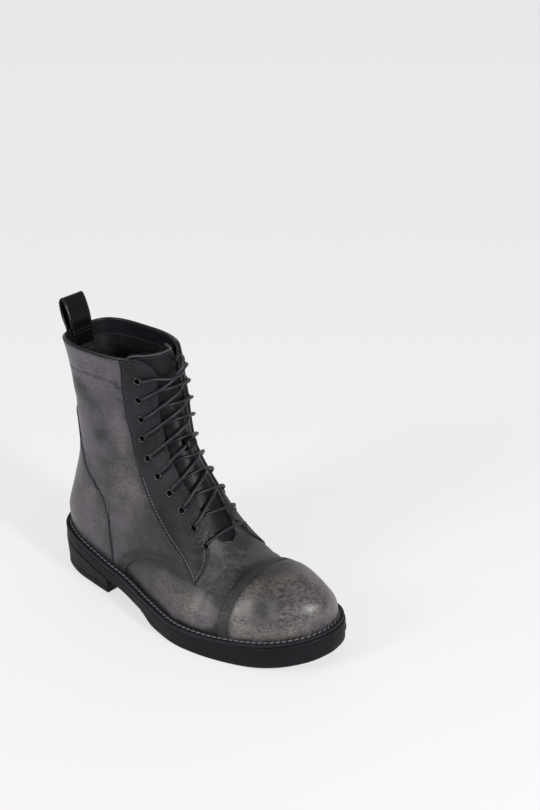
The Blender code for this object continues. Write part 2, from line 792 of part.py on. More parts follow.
def build_overlays(ground, throat, hole_cutter):
    """Pieces sewn on the upper, each cut from the same form between two offsets."""
    high = height(2.3)
    low = -0.03
    front = SOLE_LENGTH * 1.1
    back = -0.05
    half_gap = GAP / 2 + 0.00005
    ridge_back = BALL_WIDTH * 0.038
    everywhere = (-REACH, REACH)
    lateral_side = (-REACH, ridge_back - half_gap)
    medial_side = (ridge_back + half_gap, REACH)

    cap_line = seam(CAP_SEAM, -half_gap)
    cap_region = cap_line + [(front, cap_line[-1][1]), (front, cap_line[0][1])]
    counter_line = seam(COUNTER_SEAM, -half_gap)
    counter_region = counter_line + [(back, low), (back, counter_line[0][1])]
    cuff_line = seam(CUFF_SEAM[:-1], half_gap)
    facing_line = seam(FACING_SEAM, half_gap)
    facing_back = seam(FACING_SEAM, -half_gap)
    cuff_corner = [(facing_back[2][0], cuff_line[-1][1] - 0.0012)]
    cuff_region = cuff_line + cuff_corner + facing_back[1::-1]
    cuff_region += [(facing_back[0][0], high), (back, high)]
    cuff_under = [(x, z - 2 * half_gap) for x, z in cuff_line]
    counter_over = [(x + half_gap * 2, z + half_gap * 2) for x, z in counter_line]
    vamp_line = seam(VAMP_SEAM, -half_gap)
    quarter_region = [cuff_under[0]] + cuff_under[1:]
    quarter_region += [(facing_back[2][0], cuff_corner[0][1] - 2 * half_gap)]
    quarter_region += facing_back[3:-1] + vamp_line[1:] + counter_over[::-1]
    facing_region = facing_line[::-1] + [(front, high), (front, height(1.10))]
    facing_region += [(x, z) for x, z in seam(FACING_FRONT)][::-1]

    region = dict(toe_cap=(cap_region, everywhere), heel_counter=(counter_region, everywhere),
                  cuff=(cuff_region, everywhere),
                  quarter_lateral=(quarter_region, lateral_side),
                  quarter_medial=(quarter_region, medial_side),
                  facing_lateral=(facing_region, lateral_side),
                  facing_medial=(facing_region, medial_side))
    for name, (outline, (y_low, y_high)) in region.items():
        thick = COUNTER_THICKNESS if name == "heel_counter" else OVERLAY
        stuff = "dark_leather" if name.startswith("facing") else "worn_leather"
        piece = shell_solid(name, GAP, GAP + thick, stuff)
        boolean(piece, prism(f"{name}_region", outline, y_low, y_high), "INTERSECT")
        if not name.startswith(("cuff", "facing")):
            boolean(piece, ground, "DIFFERENCE")
        if name.startswith("facing"):
            boolean(piece, throat, "DIFFERENCE")
            boolean(piece, hole_cutter, "DIFFERENCE")
        merge_flat(piece)


def build_tongue():
    """Tongue under the throat, a sheet that lies against the upper's inner wall."""
    top = -WALL - GAP
    tongue = shell_solid("tongue", top - TONGUE_THICKNESS, top, "dark_leather", TONGUE_RISE)
    boolean(tongue, slot_cutter("tongue_region", TONGUE, TONGUE_HALF_WIDTH), "INTERSECT")
    merge_flat(tongue)


def back_line(across):
    """Back of the collar in side view at a distance from the ridge, from z to x."""
    section = np.linspace(LAST_ROW - 1.2, LAST_ROW, 12)
    angle = np.linspace(-math.pi / 2, 0, 90)
    side = -1 if across < 0 else 1
    strip = last_points(section, angle, side)
    ridge = hermite(section_rows(), section)[:, 8]
    line = []
    for points, middle in zip(strip, ridge):
        away = side * (points[:, 1] - middle)
        line.append([np.interp(abs(across), away, points[:, i]) for i in (2, 0)])
    return np.array(line)


def build_pull_loop():
    """Strap folded over the back of the collar, one leg on each side of the wall."""
    rim = section_rows()[LAST_ROW]
    thick = PULL_LOOP_THICKNESS
    outside = -(OVERLAY + 3 * GAP + thick / 2)
    inside = WALL + GAP + FACET_SAG + thick / 2
    leg = PULL_LOOP_LEG
    rise = PULL_LOOP_HEIGHT
    lean = PULL_LOOP_LEAN
    # height above the rim, offset from the wall at the rim's back, wrap around the heel
    path = [
        (-leg, outside, 1.0),
        (-leg / 2, outside, 1.0),
        (0.0, outside, 1.0),
        (0.40 * rise, outside * 1.5 - lean * 0.5, 0.5),
        (0.82 * rise, outside * 1.1 - lean, 0.1),
        (rise - thick / 2, -lean, 0.0),
        (0.82 * rise, inside * 0.9 - lean, 0.1),
        (0.40 * rise, inside * 1.3 - lean * 0.5, 0.5),
        (0.0, inside, 1.0),
        (-leg / 2, inside, 1.0),
        (-leg, inside, 1.0),
    ]
    path = hermite(path, np.linspace(0, len(path) - 1, 17))
    middle = back_line(0.0)
    loops = []
    for across in np.linspace(-0.5, 0.5, 4) * PULL_LOOP_WIDTH:
        line = back_line(across)
        z = rim[1] + path[:, 0]
        own = np.interp(z, line[:, 0], line[:, 1])
        shared = np.interp(z, middle[:, 0], middle[:, 1])
        x = shared + path[:, 1] + (own - shared) * path[:, 2]
        centre = np.stack([x, z], 1)
        tangent = np.gradient(centre, axis=0)
        tangent /= np.linalg.norm(tangent, axis=1)[:, None]
        normal = np.stack([-tangent[:, 1], tangent[:, 0]], 1)
        for side in (-0.5, 0.5):
            edge = centre + normal * thick * side
            y = 0 * x + rim[8] + across
            loops.append(np.stack([edge[:, 0], y, edge[:, 1]], 1))
    columns = len(loops)
    count = len(path)
    points = [p for loop in loops for p in loop]
    around = list(range(0, columns, 2)) + list(range(columns - 1, 0, -2))
    faces = []
    for a, b in zip(around, around[1:] + around[:1]):
        for i in range(count - 1):
            faces.append((a * count + i, a * count + i + 1, b * count + i + 1, b * count + i))
    for end in (0, count - 1):
        for k in range(0, columns - 2, 2):
            faces.append((k * count + end, (k + 2) * count + end,
                          (k + 3) * count + end, (k + 1) * count + end))
    make_object("pull_loop", points, faces, "patent_leather")


def build_lacing():
    """Eyelets, and the cord's crossings between them."""
    rows = eyelet_sections()
    across = THROAT_HALF_WIDTH + EYELET_SETBACK
    seat = 2 * GAP + OVERLAY
    radius = LACE_DIAMETER / 2
    over = seat + EYELET_THICKNESS + GAP + radius
    on_facing = seat + radius + 3 * GAP
    in_throat = radius - WALL + 2 * GAP
    edge = THROAT_HALF_WIDTH
    for number, section in enumerate(rows, 1):
        for side, word in ((-1, "lateral"), (1, "medial")):
            place, normal = on_last(section, side * across, 0)
            flange = seat + EYELET_THICKNESS
            profile = ((EYELET_BORE, seat), (EYELET_RADIUS, seat),
                       (EYELET_RADIUS, flange), (EYELET_BORE, flange))
            turned(f"eyelet_{word}_{number:02d}", place, normal, profile, "eyelet_metal")

    def strand(name, stops):
        route = [on_last(s, y, h)[0] for s, y, h in stops]
        return tube(name, route, radius, "waxed_cord")

    for number in range(2, EYELETS_PER_SIDE):
        here = rows[number - 1]
        pitch = rows[number - 2] - here
        name = f"lace_cross_{number - 1:02d}"
        diagonal = strand(name, [
            (here, -across, over + GAP),
            (here, -(across + edge) / 2, over + GAP),
            (here + 0.12 * pitch, -0.88 * edge, on_facing + GAP),
            (here + 0.22 * pitch, -0.60 * edge, in_throat + 0.85 * LACE_DIAMETER),
            (here + 0.50 * pitch, 0.0, in_throat + 0.80 * LACE_DIAMETER),
            (here + 0.74 * pitch, 0.60 * edge, in_throat - GAP),
        ])
        bar = strand(f"{name}_bar", [
            (here, across, over + GAP),
            (here, (across + edge) / 2, over + GAP),
            (here, 0.88 * edge, on_facing + GAP),
            (here + 0.02 * pitch, 0.0, in_throat + 0.40 * LACE_DIAMETER),
            (here + 0.14 * pitch, -0.62 * edge, in_throat + 0.25 * LACE_DIAMETER),
        ])
        bar.hide_render = True
        bar.display_type = "WIRE"
        boolean(diagonal, bar, "UNION")

    def bar_over(name, section, sag):
        stops = [(section, -across, over), (section, -edge, on_facing),
                 (section - sag, 0.0, on_facing), (section, edge, on_facing),
                 (section, across, over)]
        strand(name, [(s, y, h + GAP) for s, y, h in stops])

    bar_over("lace_bar_top", rows[0], 0.25)
    bar_over("lace_bar_bottom", rows[-1], 0.0)

    above = LAST_ROW - rows[0]
    strand("lace_end_loop", [
        (rows[0] + 0.30 * above, 0.60 * edge, over + GAP),
        (rows[0] + 0.60 * above, 0.70 * edge, over + 0.6 * LACE_DIAMETER),
        (rows[0] + 0.80 * above, 0.66 * edge, over),
        (rows[0] + 0.72 * above, 0.60 * edge, in_throat + 0.2 * LACE_DIAMETER - FACET_SAG),
        (rows[0] + 0.45 * above, 0.56 * edge, in_throat - 2 * GAP - FACET_SAG),
    ])


def build_keeper():
    """Small strap sewn on the tongue that a crossing of the cord runs under."""
    rows = eyelet_sections()
    low, high = rows[KEEPER_ROW], rows[KEEPER_ROW - 1]
    per_metre = (high - low) / EYELET_PITCH
    middle = (low + high) / 2
    foot = GAP - WALL - GAP + KEEPER_THICKNESS / 2
    crest = 2 * LACE_DIAMETER - WALL + 4 * GAP + KEEPER_THICKNESS / 2
    reach = KEEPER_LENGTH / 2
    # along the tongue, height over the last
    path = [
        (-1.00 * reach, foot),
        (-0.90 * reach, foot + 0.25 * (crest - foot)),
        (-0.82 * reach, foot + 0.80 * (crest - foot)),
        (-0.55 * reach, crest),
        (0.55 * reach, crest),
        (0.82 * reach, foot + 0.80 * (crest - foot)),
        (0.90 * reach, foot + 0.25 * (crest - foot)),
        (1.00 * reach, foot),
    ]
    path = np.array(path)
    tangent = np.gradient(path, axis=0)
    tangent /= np.linalg.norm(tangent, axis=1)[:, None]
    normal = np.stack([-tangent[:, 1], tangent[:, 0]], 1)
    levels = []
    for side in (-0.5, 0.5):
        line = path + normal * KEEPER_THICKNESS * side
        rails = []
        for across in (-KEEPER_WIDTH / 2, KEEPER_WIDTH / 2):
            rails.append([on_last(middle + s * per_metre, across, h)[0] for s, h in line])
        levels.append(rails)
    rail_solid("tongue_loop", levels, "dark_leather")


def main():
    """Build the whole boot."""
    for item in list(bpy.data.objects):
        bpy.data.objects.remove(item, do_unlink=True)
    build_sole()
    build_insole()
    cutters = build_upper()
    build_overlays(*cutters)
    build_tongue()
    build_pull_loop()
    build_lacing()
    build_keeper()


main()
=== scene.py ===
"""Looks for the laced biker boot: fine leather, seams, stitches, lace, sole and light.

Metres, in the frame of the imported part. Distances along the sole are taken from the
back of the heel and moved to the frame's origin when a mesh is made.
"""

import math

import bpy
import numpy as np
from mathutils import Matrix


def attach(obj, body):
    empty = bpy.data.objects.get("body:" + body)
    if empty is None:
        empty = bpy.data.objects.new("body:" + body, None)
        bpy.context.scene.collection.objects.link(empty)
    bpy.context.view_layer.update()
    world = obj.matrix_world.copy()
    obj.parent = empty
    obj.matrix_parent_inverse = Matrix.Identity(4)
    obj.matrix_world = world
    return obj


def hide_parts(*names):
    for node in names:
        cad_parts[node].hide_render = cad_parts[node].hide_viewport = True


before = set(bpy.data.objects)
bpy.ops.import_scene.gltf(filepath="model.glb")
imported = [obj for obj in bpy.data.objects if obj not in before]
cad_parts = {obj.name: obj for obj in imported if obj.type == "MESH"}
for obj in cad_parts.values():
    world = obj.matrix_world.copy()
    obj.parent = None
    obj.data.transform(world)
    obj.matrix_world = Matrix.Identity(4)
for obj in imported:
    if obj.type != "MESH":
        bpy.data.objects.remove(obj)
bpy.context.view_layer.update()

# Sizes of the boot, as in the part
SOLE_LENGTH = 0.305
BALL_WIDTH = 0.119
HEEL_SEAT = 0.0416
HEEL_LENGTH = 0.083
WELT_THICKNESS = 0.0032
WELT_WIDTH = 0.0145
MIDSOLE_WALL = 0.0138
TOE_FLARE = 0.0022
OUTSOLE_BACK = 0.135
OUTSOLE_FEATHER = 0.0012
OUTSOLE_INSET = 0.0012
TOE_SPRING = 0.0115
SPRING_START = 0.225
HEEL_TOP_PIECE = 0.0062
HEEL_TAPER = 0.0014
TOE_HEIGHT = 0.073
COLLAR_HEIGHT = 0.228
LEDGE = 0.0065
WALL = 0.0022
OVERLAY = 0.0013
COUNTER_THICKNESS = 0.0019
TONGUE_THICKNESS = 0.0022
TONGUE_HALF_WIDTH = 0.029
TONGUE_RISE = 0.42
THROAT_HALF_WIDTH = 0.0155
PULL_LOOP_WIDTH = 0.024
PULL_LOOP_THICKNESS = 0.0018
PULL_LOOP_HEIGHT = 0.028
PULL_LOOP_LEG = 0.015
PULL_LOOP_LEAN = 0.006
EYELETS_PER_SIDE = 10
EYELET_PITCH = 0.0179
EYELET_DROP = 0.0182
EYELET_SETBACK = 0.0080
EYELET_RADIUS = 0.0038
EYELET_BORE = 0.0021
EYELET_ROLL = 0.0011
LACE_DIAMETER = 0.0030
GAP = 0.0003
ORIGIN_SHIFT = (SOLE_LENGTH + TOE_FLARE) / 2
EYELET_ACROSS = THROAT_HALF_WIDTH + EYELET_SETBACK
PANEL_TOP = GAP + OVERLAY

# Outline of the sole, along its length and in shares of the ball's width
OUTLINE = [
    # along, middle, half
    (0.000, 0.017, 0.000),
    (0.015, 0.018, 0.108),
    (0.050, 0.004, 0.204),
    (0.120, -0.013, 0.266),
    (0.200, -0.032, 0.283),
    (0.280, -0.055, 0.285),
    (0.360, -0.067, 0.297),
    (0.480, -0.051, 0.387),
    (0.600, -0.015, 0.490),
    (0.700, 0.008, 0.498),
    (0.790, 0.034, 0.466),
    (0.870, 0.045, 0.405),
    (0.930, 0.055, 0.323),
    (0.970, 0.060, 0.222),
    (0.990, 0.058, 0.130),
    (1.000, 0.058, 0.000),
]
# Height of the welt's top along the sole, as a share of the heel seat's
WELT_TOP = [(0.00, 1.000), (0.12, 0.900), (0.27, 0.712), (0.42, 0.560), (0.55, 0.485),
            (0.68, 0.485), (0.80, 0.545), (0.90, 0.655), (1.00, 0.830)]

# Sections of the last, as in the part
SECTIONS = [
    # bottom_x, bottom_z, top_x, top_z, lateral, medial, middle, crown, ridge
    (0.979, 0.33, 0.979, 0.60, 0.000, 0.000, 0.45, 2.2, 0.052),
    (0.970, 0.30, 0.966, 0.75, 0.120, 0.112, 0.44, 2.2, 0.050),
    (0.944, 0.27, 0.933, 0.85, 0.222, 0.205, 0.42, 2.2, 0.048),
    (0.905, 0.25, 0.880, 0.925, 0.290, 0.262, 0.40, 2.2, 0.046),
    (0.839, 0.19, 0.811, 0.950, 0.366, 0.328, 0.38, 2.2, 0.048),
    (0.748, 0.16, 0.736, 0.890, 0.420, 0.390, 0.36, 2.1, 0.042),
    (0.643, 0.16, 0.666, 0.970, 0.429, 0.424, 0.34, 2.0, 0.034),
    (0.525, 0.16, 0.607, 1.14, 0.378, 0.374, 0.34, 1.9, 0.029),
    (0.393, 0.19, 0.556, 1.30, 0.332, 0.328, 0.36, 1.9, 0.029),
    (0.246, 0.27, 0.515, 1.42, 0.303, 0.298, 0.38, 2.0, 0.025),
    (0.060, 0.36, 0.485, 1.52, 0.286, 0.286, 0.40, 2.1, 0.034),
    (0.037, 0.69, 0.467, 1.61, 0.265, 0.290, 0.42, 2.1, 0.042),
    (0.063, 1.08, 0.452, 1.69, 0.252, 0.294, 0.45, 2.1, 0.050),
    (0.089, 1.29, 0.443, 1.77, 0.252, 0.298, 0.48, 2.1, 0.046),
    (0.085, 1.53, 0.434, 1.86, 0.252, 0.303, 0.50, 2.1, 0.038),
    (0.075, 1.79, 0.430, 1.94, 0.268, 0.307, 0.50, 2.1, 0.029),
    (0.062, 1.99, 0.426, 2.01, 0.294, 0.311, 0.50, 2.1, 0.013),
]
FOOT_SQUARENESS = 4.0
SHAFT_SQUARENESS = 2.7
SHAFT_START = 9.0
SHAFT_BLEND = 5.0
FEATHER_SQUARENESS = 6.0
FEATHER_BLEND = 0.028
TIP_LIFT_ANGLE = math.radians(35)
LAST_ROW = len(SECTIONS) - 1

# Seam lines in side view, as in the part
CAP_SEAM = [(0.752, 0.00), (0.748, 0.60), (0.752, 0.90), (0.768, 1.20)]
FACING_SEAM = [
    # along, height
    (0.338, 2.20),
    (0.337, 1.97),
    (0.329, 1.82),
    (0.338, 1.61),
    (0.367, 1.39),
    (0.430, 1.21),
    (0.500, 1.07),
    (0.574, 0.94),
    (0.630, 0.745),
]
VAMP_SEAM = [
    # along, height
    (0.630, 0.745),
    (0.574, 0.765),
    (0.502, 0.755),
    (0.410, 0.665),
    (0.362, 0.53),
    (0.342, 0.36),
    (0.332, 0.00),
]
COUNTER_SEAM = [(-0.10, 1.60), (0.085, 1.56), (0.110, 1.46), (0.138, 1.32), (0.174, 1.20),
                (0.243, 1.10), (0.270, 1.01), (0.277, 0.77), (0.288, 0.52), (0.292, 0.00)]
CUFF_SEAM = [(-0.10, 1.80), (0.128, 1.83), (0.250, 1.85), (0.329, 1.82)]
FACING_FRONT = [
    # along, height
    (0.630, 0.66), (0.643, 0.82), (0.640, 0.95), (0.627, 1.03), (0.614, 1.08),
    (0.612, 1.20),
]
# Half width of the throat and of the tongue, as a share of theirs, at a section number
THROAT = [(6.35, 0.15), (6.50, 0.66), (6.90, 0.88), (9.00, 1.00), (13.0, 0.98),
          (14.7, 0.84), (15.3, 0.98), (15.65, 1.20), (15.9, 1.48), (16.0, 1.62)]
TONGUE = [(5.9, 0.70), (7.0, 0.80), (10.0, 0.92), (16.0, 1.00)]

# Creases in side view: slope in degrees, sizes in metres, side -1 outer, 1 inner, 0 both
CREASES = [
    # along, height, slope, half_length, half_width, depth, side
    (0.690, 0.90, 70, 0.034, 0.0035, 0.00050, 0),
    (0.715, 0.84, 76, 0.030, 0.0030, 0.00035, 0),
    (0.250, 1.24, 24, 0.034, 0.0050, 0.00080, -1),
    (0.215, 1.36, 12, 0.028, 0.0045, 0.00060, -1),
    (0.270, 1.32, 30, 0.030, 0.0045, 0.00070, 1),
    (0.230, 1.46, 14, 0.026, 0.0045, 0.00060, 1),
    (0.420, 1.02, 38, 0.026, 0.0040, 0.00050, 0),
    (0.180, 1.62, -8, 0.030, 0.0060, 0.00060, 0),
]

# Grid of the fine last
FINE_ROWS = 150
FINE_LOOP = 168
TOP_POINTS = np.arange((FINE_ROWS - 1) * FINE_LOOP, FINE_ROWS * FINE_LOOP)

# Distance between the points of a seam line and of a cord
LINE_SPACING = 0.0015
CORD_SPACING = 0.0012


def hermite(rows, position):
    """Smooth curve through the rows, read at a fractional row number."""
    rows = np.asarray(rows, float)
    slope = np.gradient(rows, axis=0, edge_order=2)
    position = np.asarray(position, float)
    low = np.clip(np.floor(position).astype(int), 0, len(rows) - 2)
    t = (position - low)[..., None]
    start = (2 * t**3 - 3 * t**2 + 1) * rows[low] + (t**3 - 2 * t**2 + t) * slope[low]
    end = (3 * t**2 - 2 * t**3) * rows[low + 1] + (t**3 - t**2) * slope[low + 1]
    return start + end


def along_table(table, x):
    """Second column of a table against its first, on a smooth curve."""
    dense = hermite(table, np.linspace(0, len(table) - 1, 200))
    return np.interp(x, dense[:, 0], dense[:, 1])


def smooth_step(t):
    """Ease from 0 to 1."""
    t = np.clip(t, 0, 1)
    return t * t * (3 - 2 * t)


def bell(value, centre, width):
    """Soft hump, 1 high, around a value."""
    return np.exp(-((value - centre) / width) ** 2)


def unit(vectors):
    """The same directions with a length of 1."""
    return vectors / np.linalg.norm(vectors, axis=-1, keepdims=True)


def walked(points):
    """Distance along a line up to each of its points."""
    step = np.linalg.norm(np.diff(points, axis=0), axis=1)
    return np.concatenate([[0], np.cumsum(step)])


def height(share):
    """Height of a table share: TOE_HEIGHT up to 1, COLLAR_HEIGHT at 2."""
    share = np.asarray(share, float)
    shaft = COLLAR_HEIGHT - TOE_HEIGHT
    return TOE_HEIGHT * np.minimum(share, 1) + shaft * np.maximum(share - 1, 0)


def welt_top(x):
    """Top of the welt above the floor."""
    return HEEL_SEAT * along_table(WELT_TOP, np.asarray(x) / SOLE_LENGTH)


def sole_rows():
    """Outline rows as x, lateral y and medial y."""
    table = np.array(OUTLINE)
    middle = table[:, 1] * BALL_WIDTH
    half = table[:, 2] * BALL_WIDTH
    return np.stack([table[:, 0] * SOLE_LENGTH, middle - half, middle + half], 1)


def row_at(x):
    """Fractional outline row of a distance from the heel."""
    position = np.linspace(0, len(OUTLINE) - 1, 600)
    return float(np.interp(x, hermite(sole_rows(), position)[:, 0], position))


def sole_rails(inset, count, start=None, end=None, flare=0.0):
    """Lateral and medial edge of the sole, moved inwards by inset."""
    first = 0.0 if start is None else row_at(start)
    last = len(OUTLINE) - 1.0 if end is None else row_at(end)
    position = np.linspace(first, last, count)
    rows = sole_rows()
    step = 0.01
    here = hermite(rows, position)
    ahead = hermite(rows, np.minimum(position + step, len(rows) - 1))
    behind = hermite(rows, np.maximum(position - step, 0))
    toeward = smooth_step((here[:, 0] / SOLE_LENGTH - 0.72) / 0.28)
    shift = inset - flare * toeward
    rails = []
    for column, inward in ((1, 1), (2, -1)):
        tangent = ahead[:, [0, column]] - behind[:, [0, column]]
        normal = unit(inward * np.stack([-tangent[:, 1], tangent[:, 0]], 1))
        rail = here[:, [0, column]] + normal * shift[:, None]
        if start is not None:
            rail[0, 0] = start
        if end is not None:
            rail[-1, 0] = end
        rails.append(rail)
    return rails


def upper_edge(x):
    """Lateral and medial y of the upper's foot line at the welt."""
    lateral, medial = sole_rails(LEDGE, count=400)
    outer = np.interp(x, lateral[:, 0], lateral[:, 1])
    inner = np.interp(x, medial[:, 0], medial[:, 1])
    return outer, inner


def section_rows():
    """Section table in metres."""
    table = np.array(SECTIONS)
    rows = table.copy()
    rows[:, [0, 2]] *= SOLE_LENGTH
    rows[:, 1] = height(table[:, 1])
    rows[:, 3] = height(table[:, 3])
    rows[:, [4, 5, 8]] *= BALL_WIDTH
    return rows


def last_points(section, angle, side):
    """Points of the last on one side, for a column of sections and a row of angles."""
    row = hermite(section_rows(), section)
    pick = [row[:, i:i + 1] for i in range(9)]
    bottom_x, bottom_z, top_x, top_z, lateral, medial, middle, crown, ridge = pick
    sine = np.sin(angle)[None, :]
    cosine = np.cos(angle).clip(0)[None, :]
    above = sine > 0
    up = middle + (1 - middle) * np.abs(sine) ** (2 / crown)
    rounding = SHAFT_SQUARENESS - FOOT_SQUARENESS if side < 0 else 0.0
    upward = smooth_step((np.asarray(section)[:, None] - SHAFT_START) / SHAFT_BLEND)
    square = FOOT_SQUARENESS + rounding * upward
    down = middle * (1 - np.abs(sine) ** (2 / square))
    u = np.where(above, up, down)
    fullness = np.where(above, cosine ** (2 / crown), cosine ** (2 / square))
    x = bottom_x + u * (top_x - bottom_x)
    z = bottom_z + u * (top_z - bottom_z)
    blend = smooth_step((z - welt_top(x)) / FEATHER_BLEND)
    foot = upper_edge(x)[0 if side < 0 else 1]
    low = np.clip(1 - ((middle - u) / middle) ** FEATHER_SQUARENESS, 0, 1)
    foot_fullness = np.where(above, fullness, low ** (1 / FEATHER_SQUARENESS))
    width = side * (lateral if side < 0 else medial)
    at_foot = ridge + foot_fullness * (foot - ridge)
    at_form = ridge + fullness * width
    past_tip = (np.asarray(section) > 0)[:, None]
    y = np.where(past_tip, (1 - blend) * at_foot + blend * at_form, ridge)
    return np.stack([x, y, z], -1)


def on_last(section, across, lift):
    """Point over the instep: a section, a distance across the ridge, a height above."""
    side = -1 if across < 0 else 1
    angle = np.linspace(0, math.pi / 2, 240)
    step, tiny = 0.05, 0.001
    sections = np.array([section - step, section, section + step])
    strip = last_points(sections, angle, side)
    ridge = hermite(section_rows(), sections)[:, 8]

    def at(number, distance):
        line = strip[number, ::-1]
        away = side * (line[:, 1] - ridge[number])
        return np.array([np.interp(distance, away, line[:, i]) for i in range(3)])

    before, here, after = (at(number, abs(across)) for number in range(3))
    inner = max(abs(across) - tiny, 0.0)
    near, far = at(1, inner), at(1, abs(across) + tiny)
    if inner == 0.0:
        near = far * [1, -1, 1] + [0, 2 * ridge[1], 0]
    normal = unit(np.cross(far - near, after - before) * side)
    if normal[0] + normal[2] < 0:
        normal = -normal
    return here + normal * lift, normal


def eyelet_sections():
    """Section number of each eyelet row, evenly spaced down the facing."""
    section = np.linspace(6.2, LAST_ROW - 0.1, 80)
    line = np.array([on_last(s, -EYELET_ACROSS, 0)[0] for s in section])
    travelled = walked(line)
    from_top = travelled[-1] - travelled
    wanted = EYELET_DROP + EYELET_PITCH * np.arange(EYELETS_PER_SIDE)
    return np.interp(wanted, from_top[::-1], section[::-1])


# Materials


class Nodes:
    """Short way to write a material's node tree."""

    def __init__(self, name, roughness, metallic=0.0):
        self.material = bpy.data.materials.new(name)
        self.material.use_nodes = True
        self.tree = self.material.node_tree
        self.shader = self.tree.nodes["Principled BSDF"]
        self.fix("Metallic", metallic)
        self.fix("Roughness", roughness)
        self.place = self.add("ShaderNodeTexCoord").outputs["Object"]

    def fix(self, socket, value):
        """One value all over the surface, on the shader's own socket."""
        self.shader.inputs[socket].default_value = value

    def add(self, kind, **values):
        """New node, with values for its settings or its inputs."""
        node = self.tree.nodes.new(kind)
        for key, value in values.items():
            if hasattr(node, key):
                setattr(node, key, value)
            else:
                node.inputs[key.replace("_", " ")].default_value = value
        return node

    def link(self, output, socket):
        self.tree.links.new(output, socket)

    def noise(self, scale, detail, rough=0.55, stretch=None):
        """Noise in the object's own space, at a scale per metre."""
        node = self.add("ShaderNodeTexNoise", Scale=scale, Detail=detail, Roughness=rough)
        source = self.place
        if stretch:
            mapping = self.add("ShaderNodeMapping", Scale=stretch)
            self.link(source, mapping.inputs["Vector"])
            source = mapping.outputs["Vector"]
        self.link(source, node.inputs["Vector"])
        return node.outputs["Fac"]

    def cells(self, scale):
        node = self.add("ShaderNodeTexVoronoi", Scale=scale, feature="DISTANCE_TO_EDGE")
        self.link(self.place, node.inputs["Vector"])
        return node.outputs["Distance"]

    def attribute(self, name):
        node = self.add("ShaderNodeAttribute")
        node.attribute_name = name
        return node.outputs["Fac"]

    def math(self, operation, a, b, clamp=False):
        node = self.add("ShaderNodeMath", operation=operation, use_clamp=clamp)
        for socket, value in zip(node.inputs, (a, b)):
            if isinstance(value, (int, float)):
                socket.default_value = value
            else:
                self.link(value, socket)
        return node.outputs[0]

    def remap(self, value, low, high, to_low=0.0, to_high=1.0):
        """Smooth step between two limits."""
        node = self.add("ShaderNodeMapRange", interpolation_type="SMOOTHSTEP")
        self.link(value, node.inputs["Value"])
        limits = (("From Min", low), ("From Max", high), ("To Min", to_low), ("To Max", to_high))
        for key, number in limits:
            node.inputs[key].default_value = number
        return node.outputs["Result"]

    def mix(self, factor, first, second):
        node = self.add("ShaderNodeMix", data_type="RGBA")
        if isinstance(factor, (int, float)):
            node.inputs["Factor"].default_value = factor
        else:
            self.link(factor, node.inputs["Factor"])
        for socket, value in ((node.inputs[6], first), (node.inputs[7], second)):
            if isinstance(value, tuple):
                socket.default_value = (*value, 1.0)
            else:
                self.link(value, socket)
        return node.outputs[2]

    def colour(self, value):
        if isinstance(value, tuple):
            self.shader.inputs["Base Color"].default_value = (*value, 1.0)
        else:
            self.link(value, self.shader.inputs["Base Color"])

    def bump(self, layers):
        """Stack of (height output, strength, distance in metres)."""
        normal = None
        for value, strength, distance in layers:
            node = self.add("ShaderNodeBump", Strength=strength, Distance=distance)
            self.link(value, node.inputs["Height"])
            if normal is not None:
                self.link(normal, node.inputs["Normal"])
            normal = node.outputs["Normal"]
        self.link(normal, self.shader.inputs["Normal"])


def times(gain, colour):
    """Colour made lighter or darker."""
    return tuple(gain * c for c in colour)


def leather(name, base, rub_and_highlight_colour, dark, roughness=0.33, rub_and_highlight_gain=1.0, patches=1.0,
            specular=0.5):
    """Grained leather with cloudy colour, rubbed lights and painted highlights in a pale colour,
    and dark scuffs.
    """
    n = Nodes(name, roughness)
    n.fix("Specular IOR Level", specular)
    cloud = n.noise(17, 6, 0.66)
    mottle = n.noise(60, 7, 0.74, (1.0, 1.0, 1.6))
    fleck = n.noise(330, 6, 0.78, (1.0, 1.0, 2.6))
    streak = n.noise(52, 8, 0.74, (1.0, 1.0, 2.2))

    # Clouds with pale specks and dark pits
    colour = n.mix(n.remap(cloud, 0.37, 0.65), times(0.38, base), times(1.62, base))
    speck = n.math("MULTIPLY", n.remap(mottle, 0.42, 0.62), n.remap(fleck, 0.46, 0.60))
    colour = n.mix(n.math("MULTIPLY", speck, 0.60), colour, times(2.3, base))
    pits = n.remap(fleck, 0.50, 0.40)
    colour = n.mix(n.math("MULTIPLY", pits, 0.65), colour, dark)

    # Dark scuffs, then the places marked on the mesh: rubbed wear and painted highlights in the
    # pale colour, and the shade mark with dark seams, blotches and painted shade
    scuff = n.math("MULTIPLY", n.remap(n.noise(30, 5, 0.6), 0.52, 0.62),
                   n.remap(streak, 0.50, 0.60))
    colour = n.mix(n.math("MULTIPLY", scuff, 0.75 * patches), colour, dark)
    # pale mark: rubbed wear, and painted highlights on the toe cap
    rub_and_highlight = n.math("MULTIPLY", n.attribute("rub_and_highlight"), rub_and_highlight_gain)
    spots = n.math("MULTIPLY", n.remap(streak, 0.38, 0.60), n.remap(fleck, 0.30, 0.66))
    colour = n.mix(n.math("MULTIPLY", rub_and_highlight, spots, clamp=True), colour, rub_and_highlight_colour)
    # shade mark broken up by streaks: dark seams and blotches with painted shade, not torn leather
    ragged_shade = n.math("MULTIPLY", n.attribute("shade"), n.remap(streak, 0.42, 0.58, 0.65, 1.4))
    veil = n.remap(n.math("ADD", ragged_shade, n.math("MULTIPLY", mottle, 0.35)), 0.12, 1.15)
    colour = n.mix(veil, colour, dark)
    n.colour(colour)

    # Grain, pores and scuffs in relief, and a gloss that varies with them
    grain = n.cells(820)
    pores = n.noise(1900, 3, 0.6)
    uneven = n.remap(fleck, 0.3, 0.7, roughness - 0.08, roughness + 0.16)
    matt = n.math("MULTIPLY", n.attribute("shade"), 0.30)
    n.link(n.math("ADD", uneven, matt), n.shader.inputs["Roughness"])
    n.bump([(n.remap(grain, 0.0, 0.10), 0.20, 0.00012), (pores, 0.18, 0.00008),
            (fleck, 0.22, 0.00025), (streak, 0.16, 0.0006)])
    return n.material


